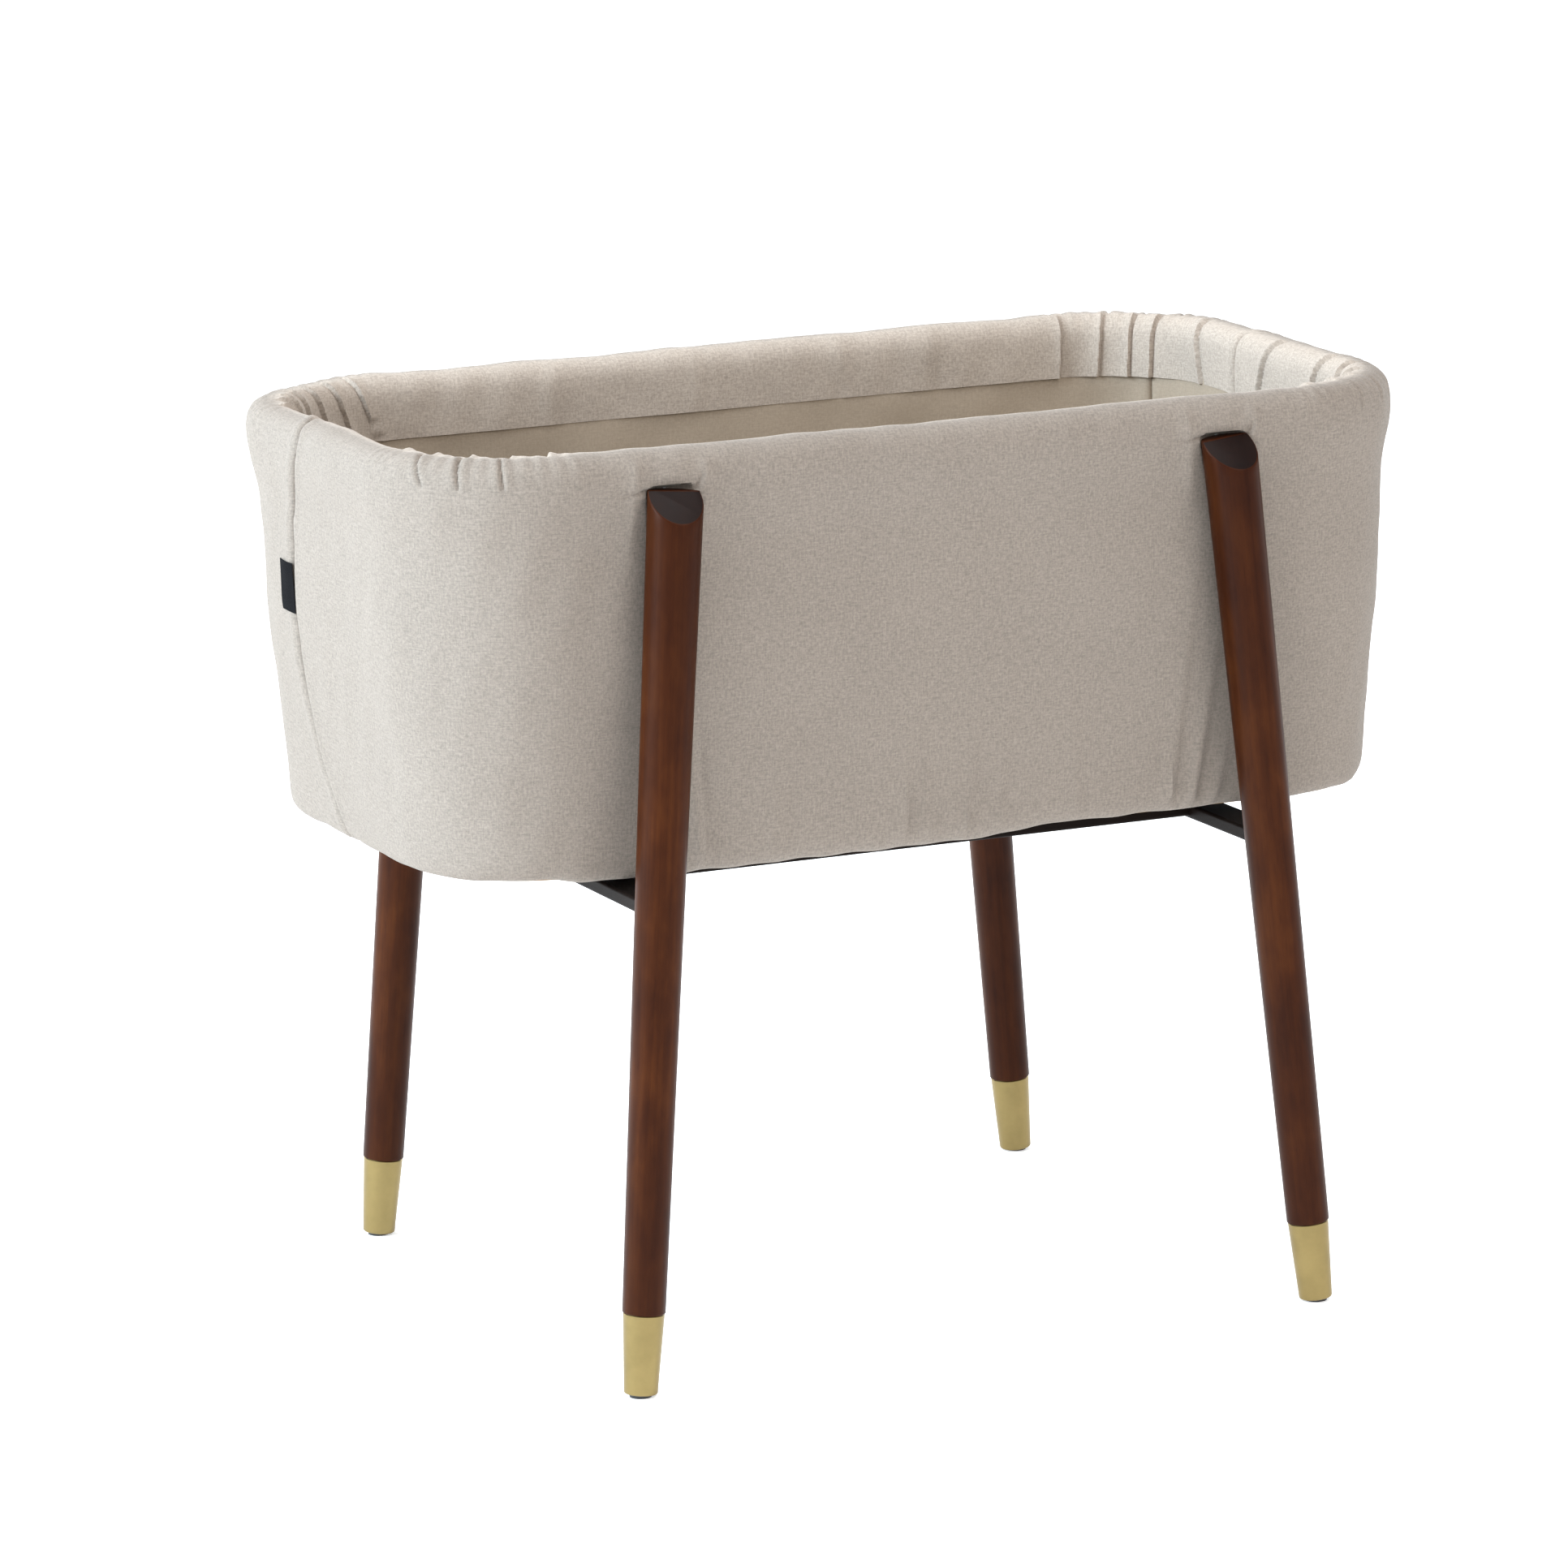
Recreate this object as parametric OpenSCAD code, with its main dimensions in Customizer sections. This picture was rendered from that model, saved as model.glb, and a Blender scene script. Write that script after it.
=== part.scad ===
// Bassinet on a four-legged stand: a padded fabric basket with a rolled rim, carried between four
// splayed wooden legs with brass ferrules, on a steel frame of two cross rails and two long rails.
// +X runs along the basket, -Y is the front, +Z is up, and the floor is z = 0 under the middle.

/* [Basket] */
// Outside length over the rolled rim
basket_length = 904; // [760:4:1080]
// Outside width over the rolled rim
basket_width = 504; // [430:4:600]
// Height of the top of the rim above the floor
rim_top_z = 755; // [680:5:880]
// Height of the underside of the base board above the floor
board_z = 412; // [330:2:480]
// Plan radius of the rim's outside at the four corners
corner_radius = 136; // [128:2:160]
// Width of the rolled rim, side to side
rim_width = 41; // [38:1:46]
// Depth of the bulging part of the rim below its top
rim_depth = 41; // [36:1:50]
// How far the wall stands in from the rim's outside just below the bulge
wall_step_in = 8.5; // [6:0.5:12]
// How far the wall stands in from the rim's outside where its taper starts
wall_bend_in = 10; // [7:0.5:14]
// How far the wall stands in from the rim's outside at the bottom
wall_taper_in = 26.5; // [20:0.5:30]
// Height above the base board where the wall's taper starts
wall_bend_height = 180; // [120:5:210]
// Height of the sloping shoulder between the rim's bulge and the wall
wall_shoulder = 34; // [20:2:50]
// Height of the rounded bottom edge of the wall
wall_bottom_round = 12; // [8:1:20]
// Thickness of the padded wall at the base board
wall_base_thickness = 22; // [18:1:26]
// Depth of the fabric cuff inside the rim, below its top
cuff_depth = 53; // [45:1:70]
// Thickness of the outer cover fabric with its backing
cover_thickness = 2; // [1.5:0.5:3]
// Thickness of the inner lining fabric
lining_thickness = 1.5; // [1:0.5:2.5]
// Place of the end seams along Y
end_seam_y = 60; // [-80:5:80]
// Angle in each corner where a long lining panel meets an end panel, from the end's side
lining_seam_angle = 38; // [20:1:70]
// Width of the cover's hem under the base board
hem_width = 26; // [18:1:40]

/* [Base] */
// Thickness of the plywood base board
board_thickness = 9; // [6:1:15]
// Gap between the board's edge and the outside of the wall
board_edge_inset = 8; // [6:1:12]
// Thickness of the cloth under the base board
bottom_cloth_thickness = 1.5; // [1:0.5:2]

/* [Mattress] */
// Thickness of the mattress
mattress_thickness = 45; // [30:5:60]
// Clearance between the mattress and the lining
mattress_clearance = 3; // [2:0.5:8]
// Thickness of the mattress cover
mattress_cover_thickness = 1.5; // [1:0.5:2.5]

/* [Legs] */
// Distance of a leg's axis from the middle along X, at the floor
leg_foot_x = 304; // [250:1:380]
// Distance of a leg's axis from the middle along Y, at the floor
leg_foot_y = 287; // [270:1:330]
// How far a leg's axis leans in along X up to its top
leg_lean_x = 60; // [20:1:90]
// Gap between the leg's inner side at its top and the ring tube in the rim
leg_ring_gap = 0.8; // [0.5:0.1:2]
// Distance of the highest point of a leg below the rim's top
leg_top_drop = 33; // [28:1:45]
// Leg diameter at the top
leg_top_d = 45; // [38:1:50]
// Leg diameter just above the ferrule
leg_foot_d = 35; // [30:0.5:40]
// Height of the sloping cut across the outer side of a leg's top
leg_bevel_height = 22; // [16:1:40]
// Depth of the sloping cut, measured across the leg
leg_bevel_depth = 28; // [20:1:36]

/* [Ferrules and glides] */
// Length of a brass ferrule along the leg
ferrule_length = 68; // [40:1:90]
// Ferrule diameter at its top
ferrule_top_d = 33.5; // [28:0.5:38]
// Ferrule diameter at its foot
ferrule_foot_d = 27.5; // [22:0.5:30]
// Ferrule wall thickness at the foot
ferrule_wall = 2; // [1.5:0.25:3]
// Gap between the ferrule's lowest corner and the floor
ferrule_floor_gap = 1; // [1:0.25:3]
// Diameter of the nylon glide in the ferrule's foot
glide_d = 18; // [14:0.5:20]

/* [Rails] */
// Height of a cross rail's underside above the floor
cross_rail_z = 388; // [310:1:460]
// Width of a cross rail along X
cross_rail_width = 30; // [24:1:34]
// Height of a cross rail
cross_rail_height = 12; // [10:1:20]
// Distance of a long rail from the middle along Y
long_rail_y = 150; // [80:5:180]
// Width and height of a long rail
long_rail_size = 20; // [16:1:30]
// Wall thickness of the rail tubes
rail_wall = 1.5; // [1:0.25:2.5]
// Outside corner radius of the rail tubes
rail_edge_radius = 2.5; // [2:0.5:4]

/* [Ring and fixings] */
// Diameter of the steel ring tube inside the rim
ring_d = 16; // [12:1:19]
// Wall thickness of the ring tube
ring_wall = 1.5; // [1:0.25:2]
// Depth of the ring tube's centre below the rim's top
ring_drop = 25; // [20:1:30]
// Length of each spigot that joins the two ring halves
spigot_length = 80; // [40:5:120]
// Depth of the leg bolt below the rim's top
leg_bolt_drop = 54; // [48:1:60]
// Thickness of a leg bracket
bracket_thickness = 4; // [3:0.5:5]
// Width of a leg bracket
bracket_width = 30; // [20:1:40]
// Thread diameter of the leg bolts and rail studs
bolt_d = 6; // [5:1:8]
// Outside diameter of the threaded inserts
insert_d = 9.5; // [9:0.5:12]
// Thread diameter of the board and ring screws
screw_d = 4; // [3:0.5:5]

/* [Label] */
// Width of the blank woven label
label_width = 30; // [16:1:40]
// Height of the blank woven label
label_height = 42; // [20:1:60]
// Height of the label's middle above the floor
label_z = 612; // [500:1:680]

/* [Hidden] */
$fn = 64;

left = -1;
right = 1;
front = -1;
rear = 1;
gap = 0.3; // between pieces that lie against each other
cut = 1; // how far a cutting shape runs past the surface it cuts
far = 2000; // beyond the whole object

// Basket plan: every horizontal section is the core rectangle grown outwards by a radius
core_x = basket_length / 2 - corner_radius;
core_y = basket_width / 2 - corner_radius;
rim_r = corner_radius - rim_width / 2;
rim_half = rim_width / 2;
rim_centre_z = rim_top_z - rim_half;
bulge_low_z = rim_top_z - rim_depth;
cuff_z = rim_top_z - cuff_depth;
board_top_z = board_z + board_thickness;
rail_top_z = board_z - bottom_cloth_thickness;
wall_top_r = corner_radius - wall_step_in;
wall_bend_r = corner_radius - wall_bend_in;
wall_bottom_r = corner_radius - wall_taper_in;
wall_foot_r = wall_bottom_r - wall_bottom_round / 4;
wall_step_z = bulge_low_z - wall_shoulder;
wall_bend_z = board_z + wall_bend_height;
wall_bottom_z = board_z + wall_bottom_round;
inner_r = corner_radius - rim_width;
inner_base_r = wall_bottom_r - wall_base_thickness;
board_r = wall_bottom_r - board_edge_inset;
hem_r = board_r - hem_width;
mattress_r = inner_base_r - mattress_clearance;
ring_z = rim_top_z - ring_drop;

// Leg axes
leg_top_z = rim_top_z - leg_top_drop;
leg_top_x = leg_foot_x - leg_lean_x;
leg_top_y = core_y + rim_r + ring_d / 2 + leg_ring_gap + leg_top_d / 2;
leg_lean_y = leg_foot_y - leg_top_y;
leg_lean = norm([leg_lean_x, leg_lean_y]);
leg_tilt = atan2(leg_lean, leg_top_z);
leg_length = norm([leg_lean, leg_top_z]);
leg_growth = (leg_top_d - leg_foot_d) / (leg_length - ferrule_length);
ferrule_start = ferrule_foot_d / 2 * tan(leg_tilt) + ferrule_floor_gap;
tenon_d = ferrule_foot_d - 2 * ferrule_wall;
glide_depth = 7;
glide_stem_d = 4;
glide_stem_length = 16;

// Rails and fixings
cross_rail_axis_z = cross_rail_z + cross_rail_height / 2;
rail_x = leg_foot_x - leg_lean_x * cross_rail_axis_z / leg_top_z;
rail_leg_y = leg_foot_y - leg_lean_y * cross_rail_axis_z / leg_top_z;
rail_leg_r = leg_radius(cross_rail_axis_z);
plug_length = 24;
stud_in_leg = 16;
bolt_z = rim_top_z - leg_bolt_drop;
bolt_x = leg_foot_x - leg_lean_x * bolt_z / leg_top_z;
bolt_leg_y = leg_foot_y - leg_lean_y * bolt_z / leg_top_z;
bolt_side_y = bolt_leg_y - leg_radius(bolt_z);
bracket_y = leg_top_y - leg_top_d / 2 - 2 * gap;
bracket_below_bolt = 14;
bracket_below_ring = 5;
bracket_low_z = bolt_z - bracket_below_bolt;
bracket_high_z = ring_z - bracket_below_ring;
bolt_head_d = 10;
bolt_head_h = 5;
insert_length = 15;
pocket_margin = 2;
board_screw_x = [-180, 0, 180];
board_screw_length = 24;
board_screw_head_d = 8;
board_screw_head_h = 2.4;
ring_screw_x = spigot_length / 4;
ring_screw_head_h = 1.8;
ring_screw_room_h = 8;

// Radius of a leg at a height above the floor
function leg_radius(z) = leg_foot_d / 2 + leg_growth * (z / cos(leg_tilt) - ferrule_length) / 2;

// ---------- shared shapes ----------

// Places children on a leg's axis: z = 0 at the floor, +Z up along the leg
module along_leg(side, end) {
    translate([side * leg_foot_x, end * leg_foot_y, 0])
        rotate([0, leg_tilt, atan2(-end * leg_lean_y, -side * leg_lean_x)])
            children();
}

// The wooden leg's tapered outside, grown by a margin
module leg_body(side, end, margin = 0) {
    along_leg(side, end)
        translate([0, 0, ferrule_length])
            cylinder(h = leg_length - ferrule_length + margin,
                d1 = leg_foot_d + 2 * margin, d2 = leg_top_d + 2 * margin);
}

// Rectangle with round corners, centred
module round_rect(width, height, radius) {
    square([width - 2 * radius, height], center = true);
    square([width, height - 2 * radius], center = true);
    for (sx = [-1, 1]) {
        for (sy = [-1, 1]) {
            translate([sx * (width / 2 - radius), sy * (height / 2 - radius)]) circle(radius);
        }
    }
}

// A flat slab with the basket's plan, grown from the core rectangle by r
module plan_slab(r, z, height) {
    translate([0, 0, z])
        linear_extrude(height)
            round_rect(2 * (core_x + r), 2 * (core_y + r), r);
}

// A section turned about one corner of the core, starting at the basket's end or at its long side
module corner_turn(side, end, angle = 90, from_long_side = false) {
    translate([side * core_x, end * core_y, 0])
        mirror([side == left ? 1 : 0, 0, 0])
            mirror([0, end == front ? 1 : 0, 0])
                mirror(from_long_side ? [1, -1, 0] : [0, 0, 0])
                    rotate_extrude(angle = angle) children();
}

// A straight run of a section along a long side
module long_run(end) {
    translate([-end * core_x, end * core_y, 0])
        rotate([90, 0, end * 90])
            linear_extrude(2 * core_x) children();
}

// A straight run of a section along one end, between two values of y
module end_run(side, from_y, to_y) {
    translate([side * core_x, side == right ? to_y : from_y, 0])
        rotate([90, 0, side == right ? 0 : 180])
            linear_extrude(to_y - from_y) children();
}

// The front or rear half of the basket wall, from end seam to end seam
module half_wall(end) {
    long_run(end) children();
    for (side = [left, right]) {
        corner_turn(side, end) children();
        end_run(side, end == front ? -core_y : end_seam_y, end == front ? end_seam_y : core_y) children();
    }
}

// ---------- wall sections, x = distance from the core rectangle, y = height ----------

// Points up the outside of the wall, from its foot to the rim, pared in by an inset
function outside_points(inset) = [
    [wall_foot_r - inset, board_z],
    [wall_bottom_r - inset, wall_bottom_z],
    [wall_bend_r - inset, wall_bend_z],
    [wall_top_r - inset, wall_step_z],
    [corner_radius - inset, bulge_low_z],
    [corner_radius - inset, rim_centre_z]
];

function reversed(points) = [for (i = [len(points) - 1:-1:0]) points[i]];

// Outline of the padded wall with its rolled rim, pared in by an inset
module wall_section(inset) {
    translate([rim_r, rim_centre_z]) circle(rim_half - inset);
    polygon(concat(
        [
            [inner_r + inset, rim_centre_z],
            [inner_r + inset, cuff_z],
            [inner_base_r + inset, board_top_z],
            [board_r + gap, board_top_z],
            [board_r + gap, board_z]
        ],
        outside_points(inset)
    ));
}

// The cover: over the outside, over the rim and down to the cuff's seam, and a hem under the board
module cover_section() {
    polygon(concat(outside_points(0), reversed(outside_points(cover_thickness))));
    translate([rim_r, rim_centre_z])
        difference() {
            circle(rim_half);
            circle(rim_half - cover_thickness);
            translate([-rim_half - cut, -2 * rim_half]) square([2 * (rim_half + cut), 2 * rim_half]);
        }
    translate([inner_r, cuff_z]) square([cover_thickness, rim_centre_z - cuff_z]);
    translate([hem_r, board_z - bottom_cloth_thickness])
        square([wall_foot_r - hem_r, bottom_cloth_thickness]);
}

// The lining: the inner face from the cuff's seam to the base board
module lining_section() {
    polygon([
        [inner_r, cuff_z - gap],
        [inner_r + lining_thickness, cuff_z - gap],
        [inner_base_r + lining_thickness, board_top_z + gap],
        [inner_base_r, board_top_z + gap]
    ]);
}

// The foam between cover and lining, with the channel for the ring tube
module padding_section() {
    difference() {
        wall_section(cover_thickness + gap / 3);
        translate([rim_r, ring_z]) circle(ring_d / 2 + gap);
    }
}

// Hollow left in the wall for a leg's head, its bracket and its bolt
module leg_pocket(side, end) {
    pocket_depth = bracket_thickness + bolt_head_h + pocket_margin;
    leg_body(side, end, cut);
    translate([side * bolt_x, end * (bracket_y + gap - pocket_depth / 2), (bracket_low_z + ring_z) / 2])
        cube([bracket_width + 2 * pocket_margin, pocket_depth,
            ring_z - bracket_low_z + 2 * pocket_margin], center = true);
    translate([side * bolt_x, end * bracket_y, bolt_z])
        rotate([90, 0, 0]) cylinder(h = leg_top_d / 2, d = bolt_d + cut, center = true);
}

// ---------- legs and feet ----------

// One wooden leg with its tenon, bevelled head and holes
module leg(side, end) {
    color("#5a3018")
    difference() {
        union() {
            leg_body(side, end);
            along_leg(side, end)
                translate([0, 0, ferrule_start + glide_depth + gap])
                    cylinder(h = ferrule_length - ferrule_start - glide_depth + cut, d = tenon_d);
        }
        // sloping cut across the outer side of the head
        translate([side * leg_top_x, end * (leg_top_y + leg_top_d / 2), leg_top_z - leg_bevel_height])
            rotate([end * -atan2(leg_bevel_height, leg_bevel_depth), 0, 0])
                translate([-leg_top_d, -2 * leg_top_d, 0])
                    cube([2 * leg_top_d, 4 * leg_top_d, 2 * leg_top_d]);
        leg_insert_hole(side, end);
        rail_stud(side, end);
        glide_stem(side, end);
    }
}

module leg_insert_hole(side, end) {
    translate([side * bolt_x, end * (bolt_side_y - cut), bolt_z])
        rotate([end * -90, 0, 0]) cylinder(h = insert_length + 2 * cut, d = insert_d);
}

// One brass ferrule: a tapered cup with a rounded foot, open below for the glide
module ferrule(side, end) {
    foot_round = 2;
    color("#c8b06a")
    along_leg(side, end)
        difference() {
            union() {
                translate([0, 0, ferrule_start + foot_round])
                    cylinder(h = ferrule_length - ferrule_start - foot_round,
                        d1 = ferrule_foot_d, d2 = ferrule_top_d);
                rotate_extrude()
                    translate([ferrule_foot_d / 2 - foot_round, ferrule_start + foot_round]) circle(foot_round);
                translate([0, 0, ferrule_start])
                    cylinder(h = foot_round, d = ferrule_foot_d - 2 * foot_round);
            }
            translate([0, 0, ferrule_start - cut])
                cylinder(h = ferrule_length + cut, d = tenon_d);
        }
}

// An upright pin from a glide into the foot of its leg
module glide_stem(side, end) {
    translate([side * leg_foot_x, end * leg_foot_y, 0])
        cylinder(h = glide_depth + glide_stem_length, d = glide_stem_d);
}

// Four nylon glides, each an upright disc on the floor with a stem up into the leg
module foot_glides() {
    color("#3a3a3a")
    for (side = [left, right]) {
        for (end = [front, rear]) {
            union() {
                translate([side * leg_foot_x, end * leg_foot_y, 0])
                    cylinder(h = glide_depth, d = glide_d);
                glide_stem(side, end);
            }
        }
    }
}

// ---------- rails ----------

module cross_rail(side) {
    color("#3b332e")
    difference() {
        translate([side * rail_x, rail_leg_y, cross_rail_axis_z])
            rotate([90, 0, 0])
                linear_extrude(2 * rail_leg_y)
                    difference() {
                        round_rect(cross_rail_width, cross_rail_height, rail_edge_radius);
                        square([cross_rail_width - 2 * rail_wall, cross_rail_height - 2 * rail_wall], center = true);
                    }
        for (end = [front, rear]) {
            leg_body(side, end, gap / 2);
            // everything beyond the leg's axis
            translate([side * rail_x, end * (rail_leg_y + far / 2), 0]) cube(far, center = true);
        }
    }
}

// Solid threaded plugs in the ends of the cross rails
module rail_end_plugs() {
    color("#6e6e70")
    for (side = [left, right]) {
        for (end = [front, rear]) {
            difference() {
                translate([side * rail_x, end * (rail_leg_y - rail_leg_r - cut - plug_length / 2), cross_rail_axis_z])
                    cube([cross_rail_width - 2 * rail_wall - gap, plug_length,
                        cross_rail_height - 2 * rail_wall - gap], center = true);
                rail_stud(side, end);
            }
        }
    }
}

// A stud from a rail's end plug into the leg
module rail_stud(side, end) {
    inner_y = rail_leg_y - rail_leg_r - cut - plug_length + gap;
    translate([side * rail_x, end * inner_y, cross_rail_axis_z])
        rotate([end * -90, 0, 0])
            cylinder(h = plug_length + cut + stud_in_leg, d = bolt_d);
}

module rail_studs() {
    color("#9a9a9c")
    for (side = [left, right]) {
        for (end = [front, rear]) {
            rail_stud(side, end);
        }
    }
}

module long_rail(end) {
    length = 2 * (rail_x - cross_rail_width / 2);
    color("#2c2826")
    difference() {
        translate([-length / 2, end * long_rail_y, rail_top_z - long_rail_size / 2])
            rotate([90, 0, 90])
                linear_extrude(length)
                    difference() {
                        round_rect(long_rail_size, long_rail_size, rail_edge_radius);
                        square(long_rail_size - 2 * rail_wall, center = true);
                    }
        base_screw_shanks(end);
    }
}

// ---------- ring in the rim ----------

module ring_tube(outer_d) {
    translate([rim_r, ring_z]) circle(d = outer_d);
}

module ring_half(side) {
    color("#8b8d90")
    difference() {
        ring_half_solid(side, ring_d);
        ring_half_solid(side, ring_d - 2 * ring_wall);
        ring_screw_holes();
    }
}

module ring_half_solid(side, outer_d) {
    for (end = [front, rear]) {
        corner_turn(side, end) ring_tube(outer_d);
        translate([side == right ? 0 : -core_x, end * (core_y + rim_r), ring_z])
            rotate([0, 90, 0]) cylinder(h = core_x, d = outer_d);
    }
    end_run(side, -core_y, core_y) ring_tube(outer_d);
}

// Short rods that join the two ring halves in the middle of the long sides
module ring_spigots() {
    color("#77797c")
    difference() {
        for (end = [front, rear]) {
            translate([-spigot_length / 2, end * (core_y + rim_r), ring_z])
                rotate([0, 90, 0]) cylinder(h = spigot_length, d = ring_d - 2 * ring_wall - gap / 2);
        }
        ring_screw_holes();
    }
}

module ring_screw_holes() {
    for (end = [front, rear]) {
        for (side = [left, right]) {
            translate([side * ring_screw_x, end * (core_y + rim_r), ring_z])
                rotate([180, 0, 0]) cylinder(h = ring_d / 2 + cut, d = screw_d);
        }
    }
}

// Four small screws up through the ring tube into the spigots
module ring_screws() {
    color("#9a9a9c")
    for (end = [front, rear]) {
        for (side = [left, right]) {
            translate([side * ring_screw_x, end * (core_y + rim_r), ring_z - ring_d / 2 - ring_screw_head_h])
                union() {
                    cylinder(h = ring_screw_head_h - gap / 3, d = 2 * screw_d);
                    cylinder(h = ring_d / 2 + ring_screw_head_h, d = screw_d);
                }
        }
    }
}

// ---------- leg brackets at the rim ----------

module leg_bracket(side, end) {
    color("#7d7f82")
    difference() {
        translate([side * bolt_x - bracket_width / 2,
            end == rear ? bracket_y - bracket_thickness : -bracket_y, bracket_low_z])
            cube([bracket_width, bracket_thickness, bracket_high_z - bracket_low_z]);
        translate([-core_x, end * (core_y + rim_r), ring_z])
            rotate([0, 90, 0]) cylinder(h = 2 * core_x, d = ring_d + gap / 2);
        translate([side * bolt_x, end * (bracket_y + cut), bolt_z])
            rotate([end * 90, 0, 0]) cylinder(h = bracket_thickness + 2 * cut, d = bolt_d);
    }
}

module leg_bolt(side, end) {
    translate([side * bolt_x, end * (bracket_y - bracket_thickness - bolt_head_h), bolt_z])
        rotate([end * -90, 0, 0])
            union() {
                cylinder(h = bolt_head_h, d = bolt_head_d);
                cylinder(h = bolt_head_h + bracket_thickness + insert_length, d = bolt_d);
            }
}

module leg_bolts() {
    color("#8f9194")
    for (side = [left, right]) {
        for (end = [front, rear]) {
            leg_bolt(side, end);
        }
    }
}

module leg_inserts() {
    color("#b59a55")
    for (side = [left, right]) {
        for (end = [front, rear]) {
            difference() {
                translate([side * bolt_x, end * (bolt_side_y + gap), bolt_z])
                    rotate([end * -90, 0, 0]) cylinder(h = insert_length, d = insert_d);
                leg_bolt(side, end);
            }
        }
    }
}

// ---------- base ----------

module base_screw_shanks(end) {
    for (x = board_screw_x) {
        translate([x, end * long_rail_y, board_top_z - board_screw_length])
            cylinder(h = board_screw_length, d = screw_d);
    }
}

module base_screws() {
    color("#9a9a9c")
    for (end = [front, rear]) {
        base_screw_shanks(end);
        for (x = board_screw_x) {
            translate([x, end * long_rail_y, board_top_z - board_screw_head_h])
                cylinder(h = board_screw_head_h, d1 = screw_d, d2 = board_screw_head_d);
        }
    }
}

module base_board() {
    color("#c9a878")
    difference() {
        plan_slab(board_r, board_z, board_thickness);
        base_screws();
    }
}

module bottom_cloth() {
    color("#2f2f31")
    difference() {
        plan_slab(hem_r - gap, board_z - bottom_cloth_thickness, bottom_cloth_thickness);
        base_screws();
    }
}

// ---------- wall ----------

module wall_padding(end) {
    color("#e8e4dc")
    difference() {
        half_wall(end) padding_section();
        for (side = [left, right]) {
            leg_pocket(side, end);
            translate([side * ring_screw_x, end * (core_y + rim_r), ring_z - ring_d / 2])
                cylinder(h = ring_screw_room_h, d = 3 * screw_d, center = true);
        }
    }
}

module outer_cover(end) {
    color("#b9b0a2")
    difference() {
        half_wall(end) cover_section();
        for (side = [left, right]) {
            leg_pocket(side, end);
        }
    }
}

module lining_long(end) {
    color("#a89b8a")
    union() {
        long_run(end) lining_section();
        for (side = [left, right]) {
            corner_turn(side, end, 90 - lining_seam_angle, true) lining_section();
        }
    }
}

module lining_end(side) {
    color("#b3a796")
    union() {
        end_run(side, -core_y, core_y) lining_section();
        for (end = [front, rear]) {
            corner_turn(side, end, lining_seam_angle) lining_section();
        }
    }
}

module side_label() {
    label_thickness = 0.8;
    color("#17171a")
    translate([-core_x - wall_top_r - label_thickness - gap, end_seam_y, label_z - label_height / 2])
        cube([label_thickness, label_width, label_height]);
}

// ---------- mattress ----------

module mattress_core() {
    inset = mattress_cover_thickness + gap / 3;
    color("#f2efe6")
    plan_slab(mattress_r - inset, board_top_z + gap + inset, mattress_thickness - 2 * inset);
}

module mattress_cover() {
    inner = mattress_cover_thickness;
    color("#ece7dd")
    difference() {
        plan_slab(mattress_r, board_top_z + gap, mattress_thickness);
        plan_slab(mattress_r - inner, board_top_z + gap + inner, mattress_thickness - 2 * inner);
    }
}

leg(left, front);  // leg_front_left
leg(right, front);  // leg_front_right
leg(left, rear);  // leg_rear_left
leg(right, rear);  // leg_rear_right
ferrule(left, front);  // ferrule_front_left
ferrule(right, front);  // ferrule_front_right
ferrule(left, rear);  // ferrule_rear_left
ferrule(right, rear);  // ferrule_rear_right
foot_glides();
cross_rail(left);  // cross_rail_left
cross_rail(right);  // cross_rail_right
rail_end_plugs();
rail_studs();
long_rail(front);  // long_rail_front
long_rail(rear);  // long_rail_rear
ring_half(left);  // ring_half_left
ring_half(right);  // ring_half_right
ring_spigots();
ring_screws();
leg_bracket(left, front);  // leg_bracket_front_left
leg_bracket(right, front);  // leg_bracket_front_right
leg_bracket(left, rear);  // leg_bracket_rear_left
leg_bracket(right, rear);  // leg_bracket_rear_right
leg_bolts();
leg_inserts();
base_board();
base_screws();
bottom_cloth();
wall_padding(front);  // wall_padding_front
wall_padding(rear);  // wall_padding_rear
outer_cover(front);  // outer_cover_front
outer_cover(rear);  // outer_cover_rear
lining_long(front);  // lining_front
lining_long(rear);  // lining_rear
lining_end(left);  // lining_left
lining_end(right);  // lining_right
side_label();
mattress_core();
mattress_cover();
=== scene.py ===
"""Looks of a bassinet on a four-legged stand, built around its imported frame.

Every size is in metres in the part's own frame: +X runs along the basket, -Y is the front, +Z is up, and the
floor is z = 0. Sizes of wood and metal are measured from the frame; the fabric's own folds are named here.
"""

import logging
import math
from contextlib import contextmanager
from dataclasses import dataclass
from enum import IntEnum
from typing import Any, Callable, Iterator, Sequence

import bmesh
import bpy
import numpy as np
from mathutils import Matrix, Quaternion, Vector


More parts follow.
